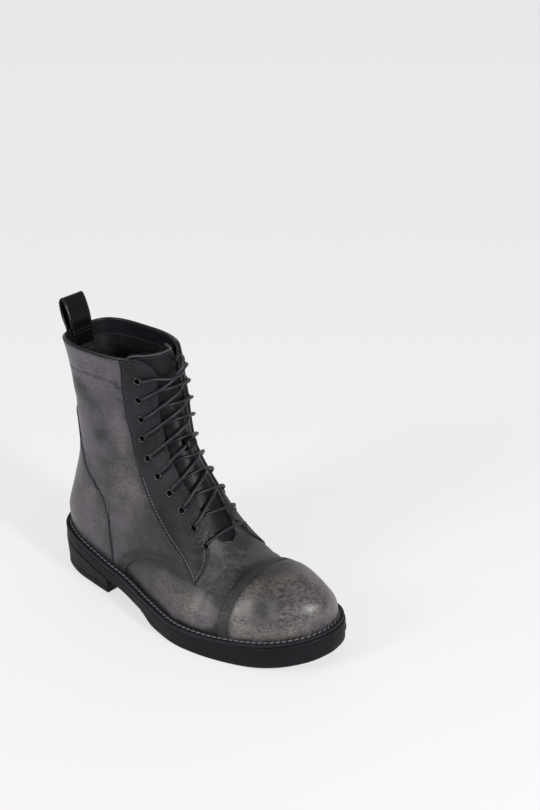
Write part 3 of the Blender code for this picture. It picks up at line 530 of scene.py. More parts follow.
def plain_leather(name, colour, roughness, grain_strength, coat=0.0, specular=0.3):
    """Even leather with a fine grain."""
    n = Nodes(name, roughness)
    n.fix("Specular IOR Level", specular)
    n.fix("Coat Weight", coat)
    n.fix("Coat Roughness", 0.16)
    cloud = n.noise(40, 5, 0.6)
    n.colour(n.mix(n.remap(cloud, 0.35, 0.7), times(0.7, colour), colour))
    grain = n.cells(900)
    n.bump([(n.remap(grain, 0.0, 0.10), grain_strength, 0.00010),
            (n.noise(150, 4), 0.10, 0.0003)])
    return n.material


def rubber(name, colour, roughness):
    """Sole stuff: faint cut lines along its side, dusty wear and pits."""
    n = Nodes(name, roughness)
    n.fix("Specular IOR Level", 0.11)
    dust = n.noise(70, 6, 0.7)
    lines = n.noise(90, 4, 0.7, (1.0, 1.0, 14.0))
    tone = n.mix(n.remap(dust, 0.35, 0.72), times(0.66, colour), colour)
    cuts = n.math("MULTIPLY", n.remap(lines, 0.5, 0.72), 0.35)
    n.colour(n.mix(cuts, tone, times(1.9, colour)))
    n.link(n.remap(dust, 0.3, 0.7, roughness - 0.06, roughness + 0.10),
           n.shader.inputs["Roughness"])
    n.bump([(lines, 0.22, 0.0005), (n.noise(900, 3), 0.14, 0.0001)])
    return n.material


def cord_stuff(name, colour):
    """Waxed cord with a twisted braid."""
    n = Nodes(name, 0.42)
    n.fix("Specular IOR Level", 0.34)
    n.colour(colour)
    n.bump([(n.cells(1300), 0.55, 0.00025), (n.noise(700, 3), 0.2, 0.0001)])
    return n.material


def thread(name, colour):
    """Sewing thread."""
    n = Nodes(name, 0.6)
    n.colour(n.mix(n.noise(500, 2), times(0.75, colour), colour))
    n.bump([(n.noise(2600, 2), 0.3, 0.0001)])
    return n.material


WORN = leather("worn_leather_look", (0.043, 0.0378, 0.0454), (0.190, 0.172, 0.140),
               (0.006, 0.0056, 0.0072))
DARK = leather("facing_leather_look", (0.009, 0.0085, 0.0107), (0.060, 0.055, 0.047),
               (0.004, 0.0038, 0.0050), roughness=0.48, rub_and_highlight_gain=0.55, patches=0.5,
               specular=0.2)
TONGUE_STUFF = plain_leather("tongue_leather_look", (0.007, 0.0066, 0.0088), 0.42, 0.22,
                             specular=0.15)
EDGE = plain_leather("tongue_edge_look", (0.075, 0.070, 0.080), 0.45, 0.15)
LINING = plain_leather("lining_look", (0.006, 0.006, 0.009), 0.66, 0.10, specular=0.15)
LINING_SEAM = plain_leather("lining_seam_look", (0.030, 0.029, 0.036), 0.60, 0.10)
PATENT = plain_leather("pull_loop_look", (0.004, 0.0037, 0.0050), 0.24, 0.16, coat=0.05,
                       specular=0.22)
PIPING = plain_leather("piping_look", (0.007, 0.007, 0.009), 0.36, 0.12)
SOLE = rubber("sole_look", (0.0078, 0.0070, 0.0090), 0.54)
WELT = rubber("welt_look", (0.015, 0.014, 0.0175), 0.50)
CORD = cord_stuff("lace_look", (0.009, 0.0088, 0.012))
THREAD_DARK = thread("thread_dark_look", (0.016, 0.015, 0.019))
THREAD_GREY = thread("thread_grey_look", (0.105, 0.100, 0.108))
METAL = Nodes("eyelet_look", 0.34, 1.0)
METAL.colour((0.050, 0.048, 0.052))
METAL.bump([(METAL.noise(600, 3), 0.15, 0.0001)])
METAL = METAL.material


# Meshes


def linked(name, data):
    """Object in the scene for a mesh, a light or a camera."""
    item = bpy.data.objects.new(name, data)
    bpy.context.collection.objects.link(item)
    return item


def aim(item, right, up, back, place):
    """Place a light or camera that looks against its back axis."""
    rows = [[right[i], up[i], back[i], place[i]] for i in range(3)]
    item.matrix_world = Matrix(rows + [[0, 0, 0, 1]])


def finish_mesh(name, points, faces, stuff, attributes=None, sharp=48, node=()):
    """Object from heel-based points, riding on the boot and standing for its nodes."""
    points = np.array(points, float)
    points[:, 0] -= ORIGIN_SHIFT
    mesh = bpy.data.meshes.new(name)
    mesh.from_pydata(points.tolist(), [], [tuple(map(int, f)) for f in faces])
    for key, values in (attributes or {}).items():
        layer = mesh.attributes.new(key, "FLOAT", "POINT")
        layer.data.foreach_set("value", np.asarray(values, np.float32))
    mesh.materials.append(stuff)
    mesh.validate()
    mesh.shade_smooth()
    mesh.set_sharp_from_angle(angle=math.radians(sharp))
    item = linked(name, mesh)
    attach(item, "root")
    if node:
        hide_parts(*node)
    return item


def signed_distance(points, table):
    """Distance in side view from a seam line, positive to the left as it is walked."""
    line = np.array(table, float)
    line = np.stack([line[:, 0] * SOLE_LENGTH, height(line[:, 1])], 1)
    dense = hermite(line, np.linspace(0, len(line) - 1, 24 * len(line)))
    reach = 0.3
    first = dense[0] + unit(dense[0] - dense[1]) * reach
    last = dense[-1] + unit(dense[-1] - dense[-2]) * reach
    dense = np.concatenate([[first], dense, [last]])
    best = np.full(len(points), 1e9)
    sign = np.zeros(len(points))
    flat = points[:, [0, 2]]
    for a, d in zip(dense[:-1], np.diff(dense, axis=0)):
        away = flat - a
        t = np.clip(away @ d / (d**2).sum(), 0, 1)
        gap = away - t[:, None] * d
        distance = np.sqrt((gap**2).sum(1))
        side = d[0] * away[:, 1] - d[1] * away[:, 0]
        closer = distance < best - 1e-9
        best[closer] = distance[closer]
        sign[closer] = np.sign(side[closer])
    return best * sign


def creased(points):
    """Depth that the creases press into the form."""
    depth = np.zeros(len(points))
    for along, level, slope, half_length, half_width, deep, side in CREASES:
        centre = np.array([along * SOLE_LENGTH, float(height(level))])
        turn = math.radians(slope)
        away = points[:, [0, 2]] - centre
        u = away @ [math.cos(turn), math.sin(turn)]
        v = away @ [-math.sin(turn), math.cos(turn)]
        v = v + 0.18 * u**2 / half_length
        ends = np.exp(-(u / half_length) ** 4)
        trough = bell(v, 0, half_width)
        ridge = 0.45 * bell(np.abs(v), 1.9 * half_width, half_width)
        press = deep * ends * (trough - ridge)
        if side:
            press = press * (np.sign(points[:, 1] - 0.003) == side)
        depth += press
    return depth


def form(section):
    """Fine last: position, normal, section, side and the seam fields of each point."""
    rows = len(section)
    half = FINE_LOOP // 2
    angle = np.linspace(-math.pi / 2, math.pi / 2, half + 1)
    lateral = last_points(section, angle, -1)
    medial = last_points(section, angle, 1)
    loops = np.concatenate([lateral, medial[:, -2:0:-1]], 1)
    along = np.gradient(loops, axis=0)
    around = np.roll(loops, -1, 1) - np.roll(loops, 1, 1)
    normal = np.cross(around, along)
    lift = np.linspace(0, TIP_LIFT_ANGLE, half + 1)
    tip = np.stack([np.cos(lift), 0 * lift, np.sin(lift)], -1)
    normal[0] = np.concatenate([tip, tip[-2:0:-1]])
    size = np.linalg.norm(normal, axis=-1)
    weak = size < 1e-12
    normal[weak] = np.roll(normal, 1, 0)[weak]
    normal = unit(normal)
    ridge = hermite(section_rows(), section)[:, 8]
    points = loops.reshape(-1, 3)
    normals = normal.reshape(-1, 3)
    number = np.repeat(section, FINE_LOOP)
    side = points[:, 1] - np.repeat(ridge, FINE_LOOP)

    # Fields of the throat and the tongue, on the top of the form alone
    off_tongue, off_throat, per_section = -0.02, 0.03, 0.012
    throat = np.array(THROAT)
    half_open = np.interp(number, throat[:, 0], throat[:, 1]) * THROAT_HALF_WIDTH
    before = throat[0, 0] - number
    half_open = np.where(before > 0, off_tongue * before, half_open)
    upward = np.tile(np.concatenate([angle, angle[-2:0:-1]]), rows)
    on_top = upward > 0.2
    sheet = np.array(TONGUE)
    half_sheet = np.interp(number, sheet[:, 0], sheet[:, 1]) * TONGUE_HALF_WIDTH
    half_sheet = np.where(on_top, half_sheet, off_tongue)
    top_row = np.repeat(loops[-1][None], rows, 0).reshape(-1, 3)
    fields = dict(
        section=number, side=side,
        cap=-signed_distance(points, CAP_SEAM),
        facing=signed_distance(points, FACING_SEAM),
        vamp=-signed_distance(points, VAMP_SEAM),
        counter=-signed_distance(points, COUNTER_SEAM),
        cuff=signed_distance(points, CUFF_SEAM),
        front=signed_distance(points, FACING_FRONT),
        ground=points[:, 2] - welt_top(np.clip(points[:, 0], 0, SOLE_LENGTH)) - GAP,
        throat=np.where(on_top, np.abs(side) - half_open, off_throat),
        tongue=np.minimum(half_sheet - np.abs(side), (number - sheet[0, 0]) * per_section),
        collar=np.linalg.norm(top_row - points, axis=1),
    )
    holes = np.full(len(points), 1.0)
    for number in eyelet_sections():
        for way in (-1, 1):
            place = on_last(number, way * EYELET_ACROSS, 0)[0]
            holes = np.minimum(holes, np.linalg.norm(points - place, axis=1))
    fields["hole"] = holes - EYELET_BORE - GAP
    names = list(fields)
    points = points - normals * creased(points)[:, None]
    data = np.column_stack([points, normals] + [fields[k] for k in names])
    i = np.arange(FINE_LOOP)
    j = (i + 1) % FINE_LOOP
    faces = []
    for r in range(rows - 1):
        low, high = r * FINE_LOOP, (r + 1) * FINE_LOOP
        faces.append(np.stack([low + i, low + j, high + j], 1))
        faces.append(np.stack([low + i, high + j, high + i], 1))
    return data, np.concatenate(faces), {k: 6 + c for c, k in enumerate(names)}


FORM, FORM_FACES, COLUMN = form(np.linspace(0, LAST_ROW, FINE_ROWS))
SHEET, SHEET_FACES, _ = form(np.linspace(5.5, LAST_ROW + TONGUE_RISE, FINE_ROWS))


def split(data, faces, value, level):
    """Cut the triangles along value == level and keep both sides."""
    v = value(data) - level
    v[np.abs(v) < 2e-5] = 0
    sign = np.sign(v)[faces]
    cut = (sign.min(1) < 0) & (sign.max(1) > 0)
    kept = [faces[~cut]]
    rows = list(data)
    made = {}
    fresh = []

    def crossing(a, b):
        key = (min(a, b), max(a, b))
        if key not in made:
            t = v[a] / (v[a] - v[b])
            made[key] = len(rows)
            rows.append(rows[a] * (1 - t) + rows[b] * t)
        return made[key]

    for a, b, c in faces[cut]:
        for _ in range(3):
            if v[a] != 0 and v[a] * v[b] <= 0 and v[a] * v[c] <= 0:
                break
            a, b, c = b, c, a
        if v[b] == 0 and v[c] != 0:
            q = crossing(a, c)
            fresh += [(a, b, q), (q, b, c)]
        elif v[c] == 0 and v[b] != 0:
            p = crossing(a, b)
            fresh += [(a, p, c), (p, b, c)]
        else:
            p, q = crossing(a, b), crossing(a, c)
            fresh += [(a, p, q), (p, b, c), (p, c, q)]
    kept.append(np.array(fresh, int).reshape(-1, 3))
    return np.array(rows), np.concatenate(kept)


def keep(data, faces, value):
    """Keep the triangles whose middle has a positive value, and their points."""
    middle = value(data)[faces].mean(1)
    faces = faces[middle > 0]
    used = np.unique(faces)
    number = np.full(len(data), -1)
    number[used] = np.arange(len(used))
    return data[used], number[faces]


def trim(data, faces, value):
    """Cut along value == 0 and keep the positive side."""
    return keep(*split(data, faces, value, 0.0), value)


def field(name, sign=1.0, shift=0.0):
    """Reader of one seam field."""
    return lambda data: sign * data[:, COLUMN[name]] - shift


def region(limits):
    """Part of the form where each limit is positive, cut cleanly along its border."""
    data, faces = FORM, FORM_FACES
    for value in limits:
        data, faces = trim(data, faces, value)
    return data, faces


def sheet_body(top, under, faces):
    """Closed body between a top and an under side that share their triangles."""
    count = len(top)
    sides = []
    for a, b in outline_edges(faces):
        sides.append((b, a, count + a))
        sides.append((b, count + a, count + b))
    every = np.concatenate([faces, np.array(sides, int), faces[:, ::-1] + count])
    return np.concatenate([top, under]), every


def ring_faces(rings, count, base=0, wrap=False):
    """Quads from each ring of points to the next, and from the last to the first."""
    faces = []
    for k in range(rings if wrap else rings - 1):
        low = base + k * count
        high = base + (k + 1) % rings * count
        for i in range(count):
            j = (i + 1) % count
            faces.append((low + i, low + j, high + j, high + i))
    return faces


def outline_edges(faces):
    """Edges that only one triangle uses, as they run in that triangle."""
    edges = np.concatenate([faces[:, [0, 1]], faces[:, [1, 2]], faces[:, [2, 0]]])
    code = np.sort(edges, 1)
    _, index, count = np.unique(code, axis=0, return_index=True, return_counts=True)
    return edges[index[count == 1]]


def panel(node, limits, low=GAP, thick=OVERLAY, stuff=WORN,
          levels=(), relief=None, rounding=0.0007, shade=None, rub_and_highlight=None, holes=False):
    """Sheet of leather for a node over a region, with a rounded edge and sewn grooves."""
    data, faces = region(limits)
    free = [value for value in limits if not getattr(value, "plain", False)]
    for value in free:
        for level in (0.35 * rounding, rounding) + tuple(levels):
            data, faces = split(data, faces, value, level)
    if holes:
        data, faces = trim(data, faces, field("hole"))
    edge = np.min([value(data) for value in free], 0)
    t = np.clip(edge / rounding, 0, 1)
    rise = low + thick * (0.35 + 0.65 * np.sqrt(1 - (1 - t) ** 2))
    if relief is not None:
        rise = rise + relief(data)
    top = data[:, :3] + data[:, 3:6] * rise[:, None]
    under = data[:, :3] + data[:, 3:6] * (low - GAP)
    points, faces = sheet_body(top, under, faces)
    # marks on the mesh: shade holds dark seams, blotches and painted shade; the pale mark holds
    # rubbed wear and painted highlights
    marks = {}
    for key, value in (("shade", shade), ("rub_and_highlight", rub_and_highlight)):
        marks[key] = np.tile(value(data) if value else np.zeros(len(data)), 2)
    return finish_mesh(f"{node}_fine", points, faces, stuff, marks, node=(node,))


def plain(value):
    """Mark a border that meets another piece and keeps its full height."""
    value.plain = True
    return value


def contour(value, level, limits, lift, base=None):
    """Smooth lines on the form where a field has one level, inside the limits."""
    form_rows, form_faces = base or (FORM, FORM_FACES)
    v = value(form_rows) - level
    v[v == 0] = 1e-12
    sign = v[form_faces] > 0
    crossing = form_faces[sign.any(1) & ~sign.all(1)]
    nodes = {}
    links = {}
    for tri in crossing:
        ends = []
        for a, b in ((tri[0], tri[1]), (tri[1], tri[2]), (tri[2], tri[0])):
            if (v[a] > 0) != (v[b] > 0):
                key = (min(a, b), max(a, b))
                if key not in nodes:
                    t = v[a] / (v[a] - v[b])
                    nodes[key] = form_rows[a] * (1 - t) + form_rows[b] * t
                ends.append(key)
        if len(ends) == 2:
            links.setdefault(ends[0], []).append(ends[1])
            links.setdefault(ends[1], []).append(ends[0])
    lines = []
    left = set(links)
    while left:
        tips = [k for k in left if len(links[k]) == 1]
        here = min(tips) if tips else min(left)
        chain = [here]
        left.discard(here)
        while True:
            following = [k for k in links[here] if k in left]
            if not following:
                break
            here = following[0]
            left.discard(here)
            chain.append(here)
        closed = not tips and len(chain) > 8
        rows = np.array([nodes[k] for k in chain])
        if closed:
            rows = np.concatenate([rows, rows[:1]])
        lines.append(rows)
    result = []
    for rows in lines:
        inside = np.ones(len(rows), bool)
        for limit in limits:
            inside &= limit(rows) > 0
        start = None
        for k in range(len(rows) + 1):
            if k < len(rows) and inside[k]:
                start = k if start is None else start
            elif start is not None:
                part = rows[start:k]
                start = None
                if len(part) > 4:
                    result.append(resample(part, LINE_SPACING, lift))
    return [line for line in result if len(line) > 3]


def resample(rows, spacing, lift):
    """Even steps along a line, smoothed, as columns of place and normal."""
    place = rows[:, :3] + rows[:, 3:6] * lift
    travelled = walked(place)
    if travelled[-1] < 3 * spacing:
        return np.zeros((0, 6))
    count = int(travelled[-1] / spacing) + 1
    at = np.linspace(0, travelled[-1], count)
    line = np.column_stack([place, rows[:, 3:6]])
    even = np.column_stack([np.interp(at, travelled, line[:, i]) for i in range(6)])
    for _ in range(2):
        even[1:-1] = 0.25 * even[:-2] + 0.5 * even[1:-1] + 0.25 * even[2:]
    even[:, 3:] = unit(even[:, 3:])
    return even


def capsule():
    """Unit stitch: rings of a rounded bar along X, 1 long and 1 wide, points and faces."""
    steps = 6
    rings = [(-0.5, 0.25), (-0.40, 0.80), (-0.2, 1.0), (0.2, 1.0), (0.40, 0.80), (0.5, 0.25)]
    points, faces = [], []
    for x, r in rings:
        for k in range(steps):
            turn = 2 * math.pi * k / steps
            points.append((x, 0.5 * r * math.cos(turn), 0.5 * r * math.sin(turn)))
    for a in range(len(rings) - 1):
        for k in range(steps):
            m = (k + 1) % steps
            faces.append((a * steps + k, (a + 1) * steps + k, (a + 1) * steps + m))
            faces.append((a * steps + k, (a + 1) * steps + m, a * steps + m))
    return np.array(points), np.array(faces)


def stitches(name, lines, pitch, length, width, sink, stuff=THREAD_DARK,
             slant=0.0):
    """Row of stitches along lines of place and normal, sunk below them."""
    bar, bar_faces = capsule()
    points, faces = [], []
    for line in lines:
        travelled = walked(line[:, :3])

        def at(distance):
            return np.array([np.interp(distance, travelled, line[:, i]) for i in range(6)])

        for middle in np.arange(0.5 * pitch, travelled[-1] - 0.4 * pitch, pitch):
            here = at(middle)
            along = (at(middle + 0.3 * length) - at(middle - 0.3 * length))[:3]
            if np.linalg.norm(along) < 1e-7:
                continue
            along = unit(along)
            normal = unit(here[3:] - along * (here[3:] @ along))
            across = np.cross(normal, along)
            along = along * math.cos(slant) + across * math.sin(slant)
            across = np.cross(normal, along)
            shape = np.stack([along * length, across * width, normal * width], 0)
            faces.append(bar_faces + len(points) * len(bar))
            points.append(bar @ shape + here[:3] - normal * sink)
    return finish_mesh(name, np.concatenate(points), np.concatenate(faces), stuff)


def tube(name, lines, radius, stuff, steps=8, node=()):
    """Round bead along lines of place and normal, thinner at its ends."""
    points, faces = [], []
    base = 0
    for line in lines:
        place = line[:, :3]
        tangent = unit(np.gradient(place, axis=0))
        normal = unit(line[:, 3:] - tangent * (line[:, 3:] * tangent).sum(1)[:, None])
        across = np.cross(tangent, normal)
        turn = np.linspace(0, 2 * math.pi, steps, endpoint=False)
        shape = np.ones(len(place))
        shape[0] = shape[-1] = 0.35
        ring = (normal[:, None] * np.cos(turn)[None, :, None]
                + across[:, None] * np.sin(turn)[None, :, None])
        points.append((place[:, None] + ring * radius * shape[:, None, None]).reshape(-1, 3))
        faces += ring_faces(len(place), steps, base)
        faces.append(tuple(range(base, base + steps))[::-1])
        base += len(place) * steps
        faces.append(tuple(range(base - steps, base)))
    return finish_mesh(name, np.concatenate(points), faces, stuff, node=node)


# The sole


def level_line(inset, surface, **span):
    """Closed loop of the sole's outline at an inset, laid on a surface z(x)."""
    lateral, medial = sole_rails(inset, **span)
    loop = np.concatenate([lateral, medial[-2:0:-1]])
    return np.column_stack([loop, surface(loop[:, 0])])


def stacked(name, levels, node):
    """Closed body of the sole through stacked loops of one count, capped across."""
    count = len(levels[0])
    faces = ring_faces(len(levels), count)
    for base, way in ((0, -1), ((len(levels) - 1) * count, 1)):
        for i in range(count // 2):
            corners = (i, i + 1, (count - i - 1) % count, (count - i) % count)
            quad = list(dict.fromkeys(base + corner for corner in corners))
            if len(quad) > 2:
                faces.append(tuple(quad[::way]))
    return finish_mesh(name, np.concatenate(levels), faces, SOLE, sharp=40,
                       node=(node,))


def below_welt(drop):
    """Surface at a depth under the welt's top."""
    return lambda x: welt_top(x) - drop


def between(low, high, share):
    """Surface at a share of the way from one surface to another."""
    return lambda x: low(x) + share * (high(x) - low(x))


def build_sole_looks():
    """Welt with its sewn groove, midsole, outsole and heel."""
    fine = 150
    profile = [
        # inset, drop below the welt's top
        (WELT_WIDTH, WELT_THICKNESS), (0.0006, WELT_THICKNESS), (0.0001, 0.0028),
        (0.0, 0.0022), (0.0, 0.0008), (0.0002, 0.0003), (0.0007, 0.0), (0.0013, 0.0),
        (0.0016, 0.0004), (0.0021, 0.0006), (0.0032, 0.0006), (0.0036, 0.0010),
        (0.0050, 0.0010), (0.0054, 0.0004), (0.0062, 0.0), (WELT_WIDTH, 0.0),
    ]
    levels = [level_line(inset, below_welt(drop), count=fine) for inset, drop in profile]
    faces = ring_faces(len(levels), len(levels[0]), wrap=True)
    finish_mesh("welt_fine", np.concatenate(levels), faces, WELT, sharp=50,
                node=("welt",))
    seam_line = level_line(0.0043, below_welt(0.0004), count=400)
    seam_line = np.concatenate([seam_line, seam_line[:1]])
    rows = np.column_stack([seam_line, np.tile([0.0, 0.0, 1.0], (len(seam_line), 1))])
    stitches("welt_stitches", [rows], 0.0052, 0.0044, 0.0014, -0.0001, THREAD_GREY,
             slant=0.16)

    # Midsole, with a wall that is slightly hollow between its two lips
    mid_top = below_welt(WELT_THICKNESS + GAP)
    mid_low = below_welt(MIDSOLE_WALL)
    lip, hollow, steps = 0.0008, 0.00035, 8
    levels = []
    for k in range(steps + 1):
        t = k / steps
        from_edge = min(k, steps - k)
        inset = lip * max(0.0, 1 - from_edge) ** 2 + hollow * math.sin(math.pi * t)
        levels.append(level_line(inset, between(mid_top, mid_low, t), count=fine,
                                 flare=TOE_FLARE * (1 + t) / 2))
    stacked("midsole_fine", levels[::-1], "midsole")

    # Outsole, from a thin edge at the waist to the toe's spring
    below_mid = below_welt(MIDSOLE_WALL + GAP)

    def tread(x):
        rise = np.clip((x - SPRING_START) / (SOLE_LENGTH - SPRING_START), 0, 1)
        return TOE_SPRING * rise**2

    def out_low(x):
        fade = 1 - smooth_step((x - OUTSOLE_BACK) / (0.06 * SOLE_LENGTH))
        feather = below_mid(x) - OUTSOLE_FEATHER
        return np.minimum(tread(x) + np.maximum(feather - tread(x), 0) * fade, feather)

    span = dict(start=OUTSOLE_BACK, count=110, flare=TOE_FLARE)
    levels = [level_line(OUTSOLE_INSET + inset, between(out_low, below_mid, share), **span)
              for share, inset in ((0.0, 0.0010), (0.08, 0.0003), (0.20, 0.0), (0.55, 0.0),
                                   (0.85, 0.0), (1.0, 0.0004))]
    stacked("outsole_fine", levels, "outsole")

    # Heel of stacked lifts, with a shallow groove between them
    span = dict(end=HEEL_LENGTH, count=70)
    lifts = 3
    levels = []
    for lift in range(lifts):
        for share, groove_depth in ((0.0, 0.0005), (0.06, 0.0), (0.94, 0.0), (1.0, 0.0005)):
            t = (lift + share) / lifts
            surface = between(lambda x: HEEL_TOP_PIECE + GAP, below_mid, t)
            levels.append(level_line(HEEL_TAPER * (1 - t) + groove_depth, surface, **span))
    stacked("heel_block_fine", levels, "heel_block")
    levels = [level_line(HEEL_TAPER + inset, lambda x, z=z: 0 * x + z, **span)
              for inset, z in ((0.0010, 0.0), (0.0003, 0.0003), (0.0, 0.0010),
                               (0.0, HEEL_TOP_PIECE - 0.0006), (0.0004, HEEL_TOP_PIECE))]
    stacked("heel_top_fine", levels, "heel_top_piece")


# The upper


def groove(*lines):
    """Relief: shallow troughs where stitch rows press into the leather."""
    def relief(data):
        press = np.zeros(len(data))
        for value, level, depth in lines:
            press -= depth * bell(value(data), level, 0.0007)
        return press
    return relief


def spread(data, centre, radius):
    """Soft spot around a point of the form."""
    away = data[:, :3] - np.array(centre)
    return np.exp(-((away / np.array(radius)) ** 2).sum(1))


def build_upper_looks():
    """Vamp and shaft, and the pieces sewn on them."""
    ground = plain(field("ground"))
    throat = field("throat")
    cap = field("cap")
    facing = field("facing")
    behind = plain(field("facing", -1, 0.0001))
    vamp = field("vamp")
    counter = field("counter")
    cuff = field("cuff")
    collar = field("collar")
    under_cuff = plain(field("cuff", -1, 0.0001))
    off_counter = plain(field("counter", -1, 0.0001))
    front = field("front")
    lateral = plain(field("side", -1))
    medial = plain(field("side"))

    # Distance of each stitch row from its seam
    band = 0.0085
    cap_rows = (0.0016, 0.0032, band - 0.0022, band - 0.0006)
    quarter_rows = (0.0017, 0.0034, 0.0072, 0.0088)
    facing_row, throat_row = 0.0022, 0.0024
    cuff_row, counter_row, collar_row = 0.0020, 0.0030, 0.0024
    deep, shallow = 0.0003, 0.0002

    def foot_shade(data):
        return 0.7 * np.exp(-data[:, COLUMN["ground"]].clip(0) / 0.0035)

    # Vamp and shaft
    def vamp_rub(data):
        x, z = data[:, 0], data[:, 2]
        near_cap = bell(x, 0.212, 0.020)
        low = bell(z, 0.045, 0.016) * bell(x, 0.175, 0.04)
        return np.clip(near_cap + 0.75 * low, 0, 1)

    def vamp_shade(data):
        on_top = smooth_step((data[:, 2] - 0.045) / 0.03)
        seams = 0.7 * np.exp(-np.abs(cap(data)) / 0.006)
        seams += 0.7 * np.exp(-np.abs(vamp(data)) / 0.006)
        return np.clip(0.14 + 0.45 * on_top + seams + foot_shade(data), 0, 0.95)

    panel("upper", [ground, throat], -WALL, WALL, rub_and_highlight=vamp_rub, shade=vamp_shade, holes=True)

    # Lining, thicker below the band at the collar
    band_end, slope, step = 0.0135, 0.0005, 0.0008
    data, faces = region([plain(field("ground", 1, 0.0002)), plain(field("throat", 1, 0.0001))])
    data, faces = split(data, faces, collar, band_end)
    data, faces = split(data, faces, collar, band_end - slope)
    data, faces = trim(data, faces, field("hole"))
    depth = WALL + 0.0003 + step * np.clip((band_end - collar(data)) / slope, 0, 1)
    inner = data[:, :3] - data[:, 3:6] * depth[:, None]
    marks = dict(shade=np.zeros(len(data)), rub_and_highlight=np.zeros(len(data)))
    finish_mesh("lining", inner, faces[:, ::-1], LINING, marks)
    rows = contour(collar, band_end - 0.0003, [field("throat", 1, 0.012)], -WALL - step)
    tube("lining_seam", rows, 0.0004, LINING_SEAM)

    # Toe cap: a raised band with four stitch rows, and rubbed leather before it, with painted
    # highlights on the outer side just in front of the band and at the front
    def cap_relief(data):
        rise = 0.0005 * smooth_step((band - cap(data)) / 0.0008)
        return rise + groove(*((cap, level, deep) for level in cap_rows))(data)

    def cap_shade(data):
        f = cap(data)
        edge = 0.72 * smooth_step((band + 0.0006 - f) / 0.0012)
        lines = 0.5 * bell(f, band, 0.0011) + 0.4 * bell(f, 0, 0.0010)
        lines = lines + 0.45 * bell(f, 0.5 * band, 0.0012)
        behind_band = 0.40 * np.exp(-((f - band) / 0.0025).clip(0) ** 2)
        crown = 0.70 * spread(data, (0.238, 0.006, 0.068), (0.022, 0.026, 0.024))
        crown += 0.60 * spread(data, (0.262, -0.030, 0.052), (0.012, 0.014, 0.016))
        shade = np.maximum(edge, behind_band) + lines + crown + foot_shade(data)
        return np.clip(0.06 + shade, 0, 0.95)

    # Pale mark on the cap: rubbed wear low down, wear with a painted highlight at the front, and a
    # painted highlight on the outer side in front of the band
    def cap_rub_and_highlight(data):
        f = cap(data)
        low = bell(data[:, 2], 0.036, 0.014)
        # wear at the front of the cap, made stronger to paint in a highlight there
        front_wear_and_highlight = bell(data[:, 0], 0.262, 0.030)
        # painted highlight: the outer side just in front of the band, where the lamp on the left
        # lights it
        painted_highlight_beside_band = bell(f, band + 0.0075, 0.0055) * smooth_step((-data[:, 1] - 0.008) / 0.016)
        return np.clip((0.95 * low + 0.65 * front_wear_and_highlight + 0.9 * painted_highlight_beside_band) * (f > band), 0, 1)

    panel("toe_cap", [cap, ground],
          levels=(0.0009, 0.0016, 0.0024, 0.0032, 0.0045, band - 0.0030, band - 0.0022,
                  band - 0.0014, band - 0.0006, band, band + 0.0008),
          relief=cap_relief, shade=cap_shade, rub_and_highlight=cap_rub_and_highlight)

    panel("heel_counter", [counter, ground], thick=COUNTER_THICKNESS, rounding=0.0011,
          levels=(0.0022, counter_row), relief=groove((counter, counter_row, shallow)),
          shade=foot_shade, rub_and_highlight=lambda d: 0.25 * spread(d, (0.02, 0.0, 0.10), (0.05, 0.1, 0.05)))

    panel("cuff", [cuff, behind], levels=(0.0016, 0.0024), rounding=0.0006,
          relief=groove((cuff, cuff_row, deep)), shade=lambda d: 0.35 * np.exp(-collar(d) / 0.004))

    # Quarters: a taped lower edge with four stitch rows, blotches and a rubbed streak
    def quarter_relief(data):
        rows = [(vamp, level, deep) for level in quarter_rows]
        return groove(*rows, (facing, -0.0018, shallow))(data)

    def quarter_shade(data):
        f = vamp(data)
        tape = 0.50 * smooth_step((0.0100 - f) / 0.0015)
        tape = tape + 0.40 * bell(f, 0.0053, 0.0012) + 0.45 * bell(f, 0.0103, 0.0010)
        low_front = 0.60 * smooth_step((data[:, 0] - 0.085) / 0.07)
        low_front = low_front * smooth_step((0.130 - data[:, 2]) / 0.05)
        seam_dark = 0.5 * np.exp(-(-facing(data) / 0.006).clip(0) ** 2)
        blotch = np.zeros(len(data))
        for strength, x, z, wide, high in (
                (0.75, 0.062, 0.178, 0.018, 0.010), (0.70, 0.072, 0.150, 0.012, 0.014),
                (0.70, 0.045, 0.190, 0.014, 0.008), (0.35, 0.085, 0.185, 0.016, 0.014)):
            blotch += strength * spread(data, (x, 0, z), (wide, 1, high))
        shade = np.maximum(tape, seam_dark) + blotch + low_front + foot_shade(data)
        return np.clip(shade, 0, 0.95)

    def quarter_rub(data):
        streak = 0.4 * spread(data, (0.094, 0, 0.150), (0.006, 1, 0.030))
        streak += 0.45 * spread(data, (0.105, 0, 0.100), (0.020, 1, 0.018))
        return np.clip(streak, 0, 1)

    def facing_rub(data):
        return np.clip(0.9 * bell(front(data), 0.004, 0.010), 0, 1)

    facing_relief = groove((facing, facing_row, deep), (front, facing_row, deep),
                           (throat, throat_row, shallow))
    for side, word in ((lateral, "lateral"), (medial, "medial")):
        panel(f"quarter_{word}", [behind, vamp, under_cuff, off_counter, ground, side],
              levels=(0.0017, 0.0026, 0.0034, 0.0072, 0.0080, 0.0088, 0.0100),
              relief=quarter_relief, shade=quarter_shade, rub_and_highlight=quarter_rub)
        panel(f"facing_{word}", [facing, front, throat, side], stuff=DARK,
              levels=(0.0018, 0.0026, 0.0036),
              relief=facing_relief, rub_and_highlight=facing_rub, holes=True)

